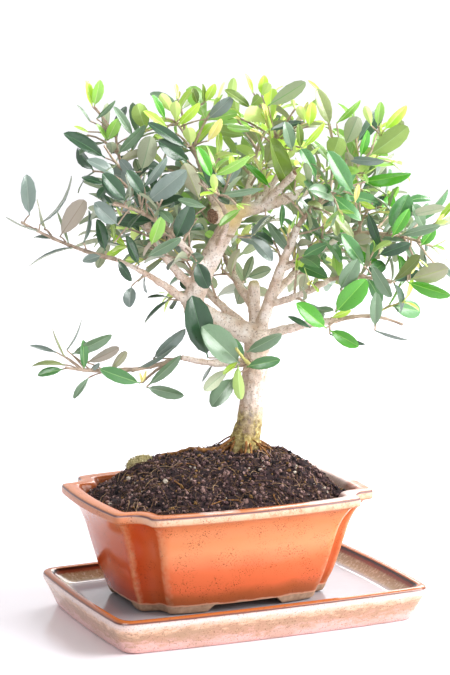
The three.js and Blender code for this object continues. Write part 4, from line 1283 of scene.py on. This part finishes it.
def growMass(crown, curves, mass, order):
    draw, fine = seeded(growth["firstSeed"] + order), seeded(growth["fineSeed"] + order)
    shares, youngChance, _ = toneShares[mass.tone]
    bough, curve = curves[mass.bough], crown.stems[mass.name]
    kind = "green" if mass.bough == "trunk" else "wood"
    phase = draw() * quarterTurn
    stem = newShoot(curve, growth["stemRadii"], phase, kind, growth["stemPitch"], growth["stemBare"])
    space = (np.array(curve.points()), mass.reach)
    longest = mass.reach - growth["twigMargin"]
    twigs = []
    for along, odd, _ in stem["nodes"][:-1]:
        for face in (odd, odd + 2):
            turn = phase + face * quarterTurn + between(growth["twigTurn"], draw)
            length = longest * between(growth["twigShare"], draw)
            if fine() < mass.thin:
                twigs += growTwig(crown, curve, along, turn, length, fine)
    # a full mass has twigs on the bough just below it
    for k in range(growth["boughTwigs"] if mass.thin == 1 else 0):
        along = 1 - (k + 0.5) * growth["boughPitch"] / bough.length
        for face in (k % 2, k % 2 + 2):
            turn = phase + face * quarterTurn + between(growth["twigTurn"], fine)
            length = longest * between(growth["boughShare"], fine)
            twigs += growTwig(crown, bough, along, turn, length, fine)
    sides = []
    for twig in twigs:
        for node in twig["nodes"][:-1]:
            if fine() <= growth["sideChance"]:
                sides += growSide(crown, twig, node, space, fine)
    for shoot in [stem] + twigs + sides:
        tint = pickTint(shares, fine)
        tipTint = pickTint(youngShares, fine) if fine() < youngChance else tint
        before = len(crown.leaves)
        growLeaves(crown, shoot, space, fine, mass, tint, tipTint)
        shoot["leafy"] = len(crown.leaves) > before
    # a twig or side shoot that got no leaf is left out
    sides = [side for side in sides if side["leafy"]]
    bearers = [id(side["parent"]) for side in sides]
    crown.shoots += [stem] + [twig for twig in twigs if twig["leafy"] or id(twig) in bearers] + sides


# Twig and leaf meshes

twigShape = {"sides": 6, "leastSteps": 3, "stepLength": 4.0, "nodeSwell": 1.28, "sharpAngle": 60}
leafShape = {
    "rows": (0, 0.08, 0.18, 0.36, 0.58, 0.79, 0.94, 1), "sharpAngle": 50,
    "stalk": 0.08, "stalkWidth": 0.36, "tipWidth": 0.25, "ribWidth": (0.26, 0.1), "thickness": (0.5, 0.2),
    "ribMost": 0.6, "belly": 0.55, "bellyLift": 0.5,
    # how the blade widens from its base and closes at its blunt tip: powers of the length
    "base": (0.52, 0.84), "blunt": (0.45, 0.68),
    # materials of the faces around the blade: 0 upper face, 1 underside, 2 midrib
    "kinds": [0, 0, 2, 0, 0, 1, 2, 1],
    # name, roughness, wax and vein size of those materials
    "skins": [("leafUpper_", 0.3, 0.5, 1.4), ("leafUnder_", 0.62, 0, 0.9), ("leafRib_", 0.5, 0, 1.5)],
}


def bridged(rows, around):
    # faces between rows of points, each row a closed loop, and the two ends
    faces = []
    for row in range(rows - 1):
        for i in range(around):
            low, ahead = row * around + i, row * around + (i + 1) % around
            faces.append((low, ahead, ahead + around, low + around))
    return faces + [tuple(reversed(range(around))), tuple(range((rows - 1) * around, rows * around))]


def tubeArrays(points, radii, sides):
    # points and faces of a closed tube through points
    rings = []
    for i, point in enumerate(points):
        tangent = (points[min(i + 1, len(points) - 1)] - points[max(i - 1, 0)]).normalized()
        level = up.cross(tangent)
        if level.length_squared < nearlyNone:
            level = across.cross(tangent)
        level.normalize()
        rise = tangent.cross(level)
        for s in range(sides):
            angle = fullTurn * s / sides
            rings.append(point + (level * math.cos(angle) + rise * math.sin(angle)) * radii[i])
    return rings, bridged(len(points), sides)


def makeTwigs(crown, materials):
    parts = []
    for shoot in crown.shoots:
        curve = shoot["curve"]
        steps = max(twigShape["leastSteps"], round(curve.length / twigShape["stepLength"]))
        joints = {round(node[0], 4) for node in shoot["nodes"]}
        stops = sorted(set(np.linspace(0, 1, steps + 1).round(4)) | joints)
        radii = [mix(*shoot["radii"], s) * (twigShape["nodeSwell"] if s in joints else 1) for s in stops]
        points, faces = tubeArrays([curve.pointAt(s) for s in stops], radii, twigShape["sides"])
        parts.append(([toPart @ point for point in points], faces, 0 if shoot["kind"] == "wood" else 1))
    finishPiece(arrayPiece("twigs", parts, materials, twigShape["sharpAngle"]), "bark")


def leafArrays(leaf):
    # a thin closed blade: its upper face folded along the midrib and cambered, its underside a little below
    shape = leafShape
    points = []
    half = leaf["length"] * leaf["width"] / 2
    base, blunt = leaf["base"], leaf["blunt"]
    most = (base / (base + blunt)) ** base * (blunt / (base + blunt)) ** blunt
    for t in shape["rows"]:
        place, above = leafSpine(leaf, t)
        blade = max(0, (t - shape["stalk"]) / (1 - shape["stalk"]))
        swell = blade ** base * (1 - blade) ** blunt / most
        wide = max(half * swell, mix(shape["stalkWidth"], shape["tipWidth"], t))
        rib = min(mix(*shape["ribWidth"], t), wide * shape["ribMost"])
        twist = leaf["twist"] * t
        side = leaf["side"] * math.cos(twist) + above * math.sin(twist)
        above = above * math.cos(twist) - leaf["side"] * math.sin(twist)
        lift = above * wide * leaf["fold"]
        belly = side * mix(rib, wide, shape["belly"])
        rise = lift * shape["bellyLift"] + above * wide * leaf["camber"]
        below = above * mix(*shape["thickness"], t)
        points += [
            place - side * wide + lift, place - belly + rise, place - side * rib,
            place + side * rib, place + belly + rise, place + side * wide + lift,
            place + side * rib - below, place - side * rib - below,
        ]
    rows, kinds = len(shape["rows"]), shape["kinds"]
    return [toPart @ point for point in points], bridged(rows, len(kinds)), kinds * (rows - 1) + [1, 1]


def makeLeaves(crown):
    # one joined piece for each tint
    pieces = []
    for tint, colours in leafTints.items():
        parts = [leafArrays(leaf) for leaf in crown.leaves if leaf["tint"] == tint]
        looks = zip(leafShape["skins"], colours)
        materials = [leafSkin(name + tint, colour, *look) for (name, *look), colour in looks]
        pieces.append(arrayPiece("leaves_" + tint, parts, materials, leafShape["sharpAngle"]))
    for piece in pieces:
        finishPiece(piece, "foliage")
    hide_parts(*[mass.name for mass in massPlan])


def leafSkin(name, colour, roughness, wax, veinSize):
    # waxed olive leaf: a plain colour under a soft waxy gloss, with fine veins
    material, add = newMaterial(name)
    spot = add("TexCoord", out="Object")
    vein = add("TexNoise", {"Vector": spot, "Scale": perSize(veinSize), "Detail": 3})
    return coat(material, {
        "Base Color": hexColour(colour), "IOR": 1.5, "Coat Weight": wax, "Coat Roughness": 0.2,
        "Sheen Weight": wax * 0.3, "Sheen Roughness": 0.4,
        "Roughness": add("MapRange", {"Value": vein, 3: roughness - 0.08, 4: roughness + 0.1}),
        "Normal": add("Bump", {"Height": vein, "Strength": 0.6, "Distance": 0.25 * mm}),
    })


# Compost in the pot

soil = {
    "gap": 0.42, "edge": 46.6, "edgeInset": 8.2, "crown": 64.8, "rings": 44, "floorLift": 0.3, "floorTop": 10,
    "pad": (19.6, 12), "padRadius": 12, "padShares": (0.75, 0.5, 0.25, 0.1),
    "lumpSize": 8.0, "lump": 1.5, "clodSize": 2.8, "clod": 1.0,
    # how far below the edge lumps and spots begin, and the steepest place for a spot
    "lumpsFrom": 1, "spotsFrom": 1.5, "steepest": 0.2,
    # dark and pale colour, size of the mottling, roughness
    "stuff": {
        "compost": ("#140b0e", "#3e2c2e", 1.6, 0.9), "moss": ("#948858", "#dcd2a6", 0.7, 0.85),
        "blackCrumb": ("#0a0507", "#20161a", 0.8, 0.9), "darkCrumb": ("#28181a", "#6a5050", 0.8, 0.9),
        "brownCrumb": ("#543e3c", "#a88880", 0.8, 0.85), "ochreCrumb": ("#5c4226", "#9c7642", 0.8, 0.85),
        "perlite": ("#a89c8c", "#ddd2c2", 0.6, 0.8), "peatFibre": ("#3a281c", "#7b5c41", 0.8, 0.8),
        "paleFibre": ("#8a6b4c", "#c0a17c", 0.8, 0.8), "rootBark": ("#5c3a1e", "#a8753e", 1.2, 0.7),
    },
}
# how much each lump grows by chance, how wide and how rough it gets
lump = {
    "grow": (0.6, 0.8), "wide": ((0.7, 1.4), (0.7, 1.2)), "rough": (0.75, 1.2), "sharpAngle": 25,
    # count, sizes, how far it stands out, how flat it may be, seed, and the shares of its stuff
    "compost_crumbs": (
        4600, (0.35, 1.2), 0.25, 0.5, 31, {"blackCrumb": 4, "darkCrumb": 9, "brownCrumb": 6, "ochreCrumb": 1},
    ),
    "perlite": (52, (0.35, 1.15), 0.6, 0.7, 32, {"perlite": 1}),
}
fibre = {
    "steps": 6, "leastPoints": 4, "curl": (-1.6, 1.6), "seat": 0.4, "taper": 0.6, "sides": 5, "sharpAngle": 60,
    # in metres: how far above the ground is looked for, and the jump that ends a fibre
    "search": 0.02, "jump": 0.004,
    # count, lengths, radii, how high it may arch, seed, and the shares of its stuff
    "compost_fibres": (620, (3, 12), (0.09, 0.22), 0.22, 33, {"peatFibre": 5, "paleFibre": 1}),
    "surface_roots": (9, (8, 18), (0.25, 0.5), 0.08, 34, {"rootBark": 1}),
}
# thin roots at the trunk's foot, with a bow out, up and back from the swerve, and one root along the ridge
footRoot = {
    "count": 26, "seed": 38, "stray": 0.8, "swerve": (-6, 6), "start": 5.4, "top": (0.6, 6.5), "reach": (9, 20),
    "depth": 3.6, "bow": (0.6, 1.1, 0.2), "radius": (0.3, 1.0), "taper": 0.6, "steps": 8, "sides": 6,
    "ridgeStart": (-5, 0, 0), "ridgeRadii": (1.5, 0.7), "ridgeSwerve": 3.5, "ridgeSteps": 23, "ridgeSides": 8,
    "ridgeSeat": 0.5, "sharpAngle": 60,
}
moss = {
    "place": (-34, 29), "size": (7.6, 5, 4), "rise": 2.6, "riseWidth": 13, "segments": 28, "rings": 16,
    # share and fineness of its lumps
    "lumps": ((0.22, 2.3), (0.1, 6)),
    "tufts": 460, "tuftLength": (0.6, 1.4), "tuftRadii": (0.24, 0.2, 0.05), "tuftDepth": 0.2, "tuftBend": 0.6,
    "tuftSides": 4, "lowest": -0.1, "lean": (0.5, 0.5, 0.3), "sharpAngle": 40, "seed": 77,
}
# height in metres from which the ground is looked for
skyHeight = 0.2


def makeSoil(material):
    # a closed heap: the pot's inside up to the edge, then a mound up to a pad around the trunk
    base = Vector(pot["place"])
    rings = []
    for inset, height in reversed(pot["section"][-pot["insideRows"]:]):
        if height <= soil["edge"]:
            lift = soil["floorLift"] if height < soil["floorTop"] else 0
            rings.append(levelRing(oblong(pot, inset + soil["gap"]), height + lift))
    edge = oblong(pot, soil["edgeInset"] + soil["gap"])
    pad = np.array(soil["pad"])
    away = edge - pad
    inner = pad + away / np.linalg.norm(away, axis=1)[:, None] * soil["padRadius"]
    for t in [r / soil["rings"] for r in range(soil["rings"] + 1)]:
        height = mix(soil["edge"], soil["crown"], math.sin(t * quarterTurn))
        rings.append(levelRing(edge + (inner - edge) * t, height))
    rings += [levelRing(pad + (inner - pad) * share, soil["crown"]) for share in soil["padShares"]]
    piece = ringPiece("compost", [ring + np.array(base) for ring in rings])
    floor = (base.z + soil["edge"] - soil["lumpsFrom"]) * mm
    for corner in piece.data.vertices:
        if corner.co.z < floor:
            continue
        place = corner.co / mm
        push = soil["lump"] * noise.noise(place / soil["lumpSize"])
        push += soil["clod"] * noise.noise(place / soil["clodSize"])
        off = math.dist(place[:2], moss["place"]) / moss["riseWidth"]
        push += moss["rise"] * math.exp(-off * off)
        corner.co.z += push * mm
    piece.data.materials.append(material)
    smooth(piece)
    finishPiece(piece, "compost", "soil")
    return piece


def surfaceOf(bed):
    return BVHTree.FromObject(bed, bpy.context.evaluated_depsgraph_get())


def groundAt(surface, x, y):
    return surface.ray_cast(Vector((x * mm, y * mm, skyHeight)), -up)[0]


def soilSpots(piece, count, draw):
    # places spread evenly over the compost's surface, with the upward normal
    base = (pot["place"][2] + soil["edge"] - soil["spotsFrom"]) * mm
    tops = [face for face in piece.data.polygons if face.normal.z > soil["steepest"] and face.center.z > base]
    # sorted by place, for the order of the faces and of their corners changes from run to run
    tops = sorted((face for face in tops if len(face.vertices) == 4), key=lambda face: face.center.to_tuple(7))
    areas = np.cumsum([face.area for face in tops])
    spots = []
    for _ in range(count):
        face = tops[min(int(np.searchsorted(areas, draw() * areas[-1])), len(tops) - 1)]
        corners = [piece.data.vertices[i].co for i in face.vertices]
        first = corners.index(min(corners, key=lambda corner: corner.to_tuple(7)))
        a, b, c, d = corners[first:] + corners[:first]
        u, v = draw(), draw()
        spots.append((a.lerp(b, u).lerp(d.lerp(c, u), v), face.normal.copy()))
    return spots


def dealt(stuff, shares):
    # a list of materials to draw from, each as often as its share says
    return [stuff[name] for name, share in shares.items() for _ in range(share)]


def lumpShape():
    # a small angular lump, the start of every crumb
    piece = startFrom(bpy.ops.mesh.primitive_ico_sphere_add, subdivisions=1, radius=1)
    points = [corner.co.copy() for corner in piece.data.vertices]
    faces = [tuple(face.vertices) for face in piece.data.polygons]
    bpy.data.objects.remove(piece)
    return points, faces


def scatterLumps(name, bed, stuff):
    count, sizes, sink, flat, seed, shares = lump[name]
    least, more = lump["grow"]
    materials = dealt(stuff, shares)
    draw = seeded(seed)
    shape, faces = lumpShape()
    parts = []
    for place, normal in soilSpots(bed, count, draw):
        size = between(sizes, draw) * (least + more * draw() ** 3)
        angle = draw() * fullTurn
        turn = Matrix.Rotation(angle, 3, Vector([draw() - 0.5 for _ in range(3)]).normalized())
        stretch = Vector([between(span, draw) for span in (*lump["wide"], (flat, 1))])
        points = []
        for corner in shape:
            local = corner * stretch * between(lump["rough"], draw)
            points.append(place + normal * size * sink * mm + (turn @ local) * size * mm)
        parts.append((points, faces, int(draw() * len(materials))))
    finishPiece(arrayPiece(name, parts, materials, lump["sharpAngle"]), "compost")


def scatterFibres(name, bed, stuff):
    count, lengths, radii, standing, seed, shares = fibre[name]
    materials = dealt(stuff, shares)
    draw = seeded(seed)
    surface = surfaceOf(bed)
    parts = []
    for spot, _ in soilSpots(bed, count, draw):
        length, radius = between(lengths, draw), between(radii, draw)
        angle, curl = draw() * fullTurn, between(fibre["curl"], draw)
        rise = between((0, standing), draw)
        line = []
        for t in [step / fibre["steps"] for step in range(fibre["steps"] + 1)]:
            hit = surface.ray_cast(spot + up * fibre["search"], -up)[0]
            ground = spot if hit is None else hit
            if abs(ground.z - spot.z) > fibre["jump"]:
                break
            arch = rise * math.sin(math.pi * t) * length * mm
            spot = Vector((spot.x, spot.y, ground.z))
            line.append(spot + up * (arch + radius * fibre["seat"] * mm))
            spot = spot + headingAt(angle + curl * t) * length / fibre["steps"] * mm
        if len(line) >= fibre["leastPoints"]:
            taper = [radius * mm * (1 - fibre["taper"] * i / (len(line) - 1)) for i in range(len(line))]
            parts.append((*tubeArrays(line, taper, fibre["sides"]), int(draw() * len(materials))))
    finishPiece(arrayPiece(name, parts, materials, fibre["sharpAngle"]), "compost")


def makeFootRoots(bed, material):
    # thin roots that leave the trunk's foot and dip into the compost
    draw = seeded(footRoot["seed"])
    out, high, back = footRoot["bow"]
    stops = np.linspace(0, 1, footRoot["steps"] + 1)
    parts = []
    for i in range(footRoot["count"]):
        heading = headingAt(fullTurn * (i + footRoot["stray"] * draw()) / footRoot["count"])
        swerve = Vector((-heading.y, heading.x, 0)) * between(footRoot["swerve"], draw)
        start = heading * footRoot["start"] + up * between(footRoot["top"], draw)
        tip = heading * between(footRoot["reach"], draw) + swerve - up * footRoot["depth"]
        curve = Bow(start, tip, heading * out + up * high - swerve * back)
        radius = between(footRoot["radius"], draw)
        radii = [radius * (1 - footRoot["taper"] * s) for s in stops]
        points, faces = tubeArrays([curve.pointAt(s) for s in stops], radii, footRoot["sides"])
        parts.append(([toPart @ point for point in points], faces, 0))
    # one root runs along the ridge of the compost to the moss
    surface = surfaceOf(bed)
    start, end = (toPart @ Vector(footRoot["ridgeStart"])) / mm, Vector((*moss["place"], 0))
    aside = Vector((start.y - end.y, end.x - start.x, 0)).normalized()
    line, radii = [], []
    for t in np.linspace(0, 1, footRoot["ridgeSteps"] + 1):
        spot = start.lerp(end, t) + aside * math.sin(t * fullTurn) * footRoot["ridgeSwerve"]
        radii.append(mix(*footRoot["ridgeRadii"], t) * mm)
        line.append(groundAt(surface, spot.x, spot.y) + up * radii[-1] * footRoot["ridgeSeat"])
    parts.append((*tubeArrays(line, radii, footRoot["ridgeSides"]), 0))
    finishPiece(arrayPiece("foot_roots", parts, [material], footRoot["sharpAngle"]), "bark")


def makeMoss(bed, material):
    # a low cushion of moss: a lumpy mound under short tufts
    draw = seeded(moss["seed"])
    ground = groundAt(surfaceOf(bed), *moss["place"])
    ball = {"segments": moss["segments"], "ring_count": moss["rings"], "radius": 1}
    piece = startFrom(bpy.ops.mesh.primitive_uv_sphere_add, **ball)
    piece.name = piece.data.name = "moss"
    for corner in piece.data.vertices:
        lumps = 1 + sum(share * noise.noise(corner.co * fineness) for share, fineness in moss["lumps"])
        corner.co = corner.co * Vector(moss["size"]) * lumps * mm + ground
    tops = [face for face in piece.data.polygons if face.normal.z > moss["lowest"]]
    parts = []
    for _ in range(moss["tufts"]):
        face = tops[int(draw() * len(tops))]
        lean = (face.normal + Vector([draw() - back for back in moss["lean"]])).normalized()
        length = between(moss["tuftLength"], draw) * mm
        rises = (-moss["tuftDepth"] * mm, length * moss["tuftBend"], length)
        line = [face.center + lean * rise for rise in rises]
        parts.append((*tubeArrays(line, [radius * mm for radius in moss["tuftRadii"]], moss["tuftSides"]), 0))
    tufts = arrayPiece("moss_tufts", parts, [material], moss["sharpAngle"])
    piece.data.materials.append(material)
    smooth(piece)
    finishPiece(piece, "compost")
    finishPiece(tufts, "compost")


# Build

makeCamera()
makeStudio()
print("stage: camera, floor and light")
makeVessel("tray_glazed", "tray", tray, glazedTray())
makeVessel("pot_glazed", "pot", pot, glazedPot(), markRidges, markScoops)
print("stage: pot and tray")
looseStuff = {name: mottledSkin("loose", name, *look) for name, look in soil["stuff"].items()}
compostBed = makeSoil(looseStuff["compost"])
for lumpName in ("compost_crumbs", "perlite"):
    scatterLumps(lumpName, compostBed, looseStuff)
for fibreName in ("compost_fibres", "surface_roots"):
    scatterFibres(fibreName, compostBed, looseStuff)
makeFootRoots(compostBed, looseStuff["rootBark"])
makeMoss(compostBed, looseStuff["moss"])
print("stage: compost")
limbLines = limbCurves()
makeBark(limbLines, oliveBark(), mottledSkin("endGrain", "cutWood", "#5a3d2e", "#a07c60", 0.8, 0.85))
print("stage: bark")
oliveCrown = Crown(limbLines)
for bladeCarrier, bladeRows in bladePlan.items():
    for bladeRow in bladeRows:
        growBlade(oliveCrown, bladeCarrier, *bladeRow)
for massNumber, massRow in enumerate(massPlan):
    growMass(oliveCrown, limbLines, massRow, massNumber)
rinds = [("twigRind", "#947e6a", "#c4ae98"), ("greenRind", "#aca85c", "#d3cd80")]
makeTwigs(oliveCrown, [mottledSkin("rind", *rind, 3, 0.6) for rind in rinds])
makeLeaves(oliveCrown)
print("stage: foliage,", len(oliveCrown.leaves), "leaves,", len(oliveCrown.shoots), "shoots")
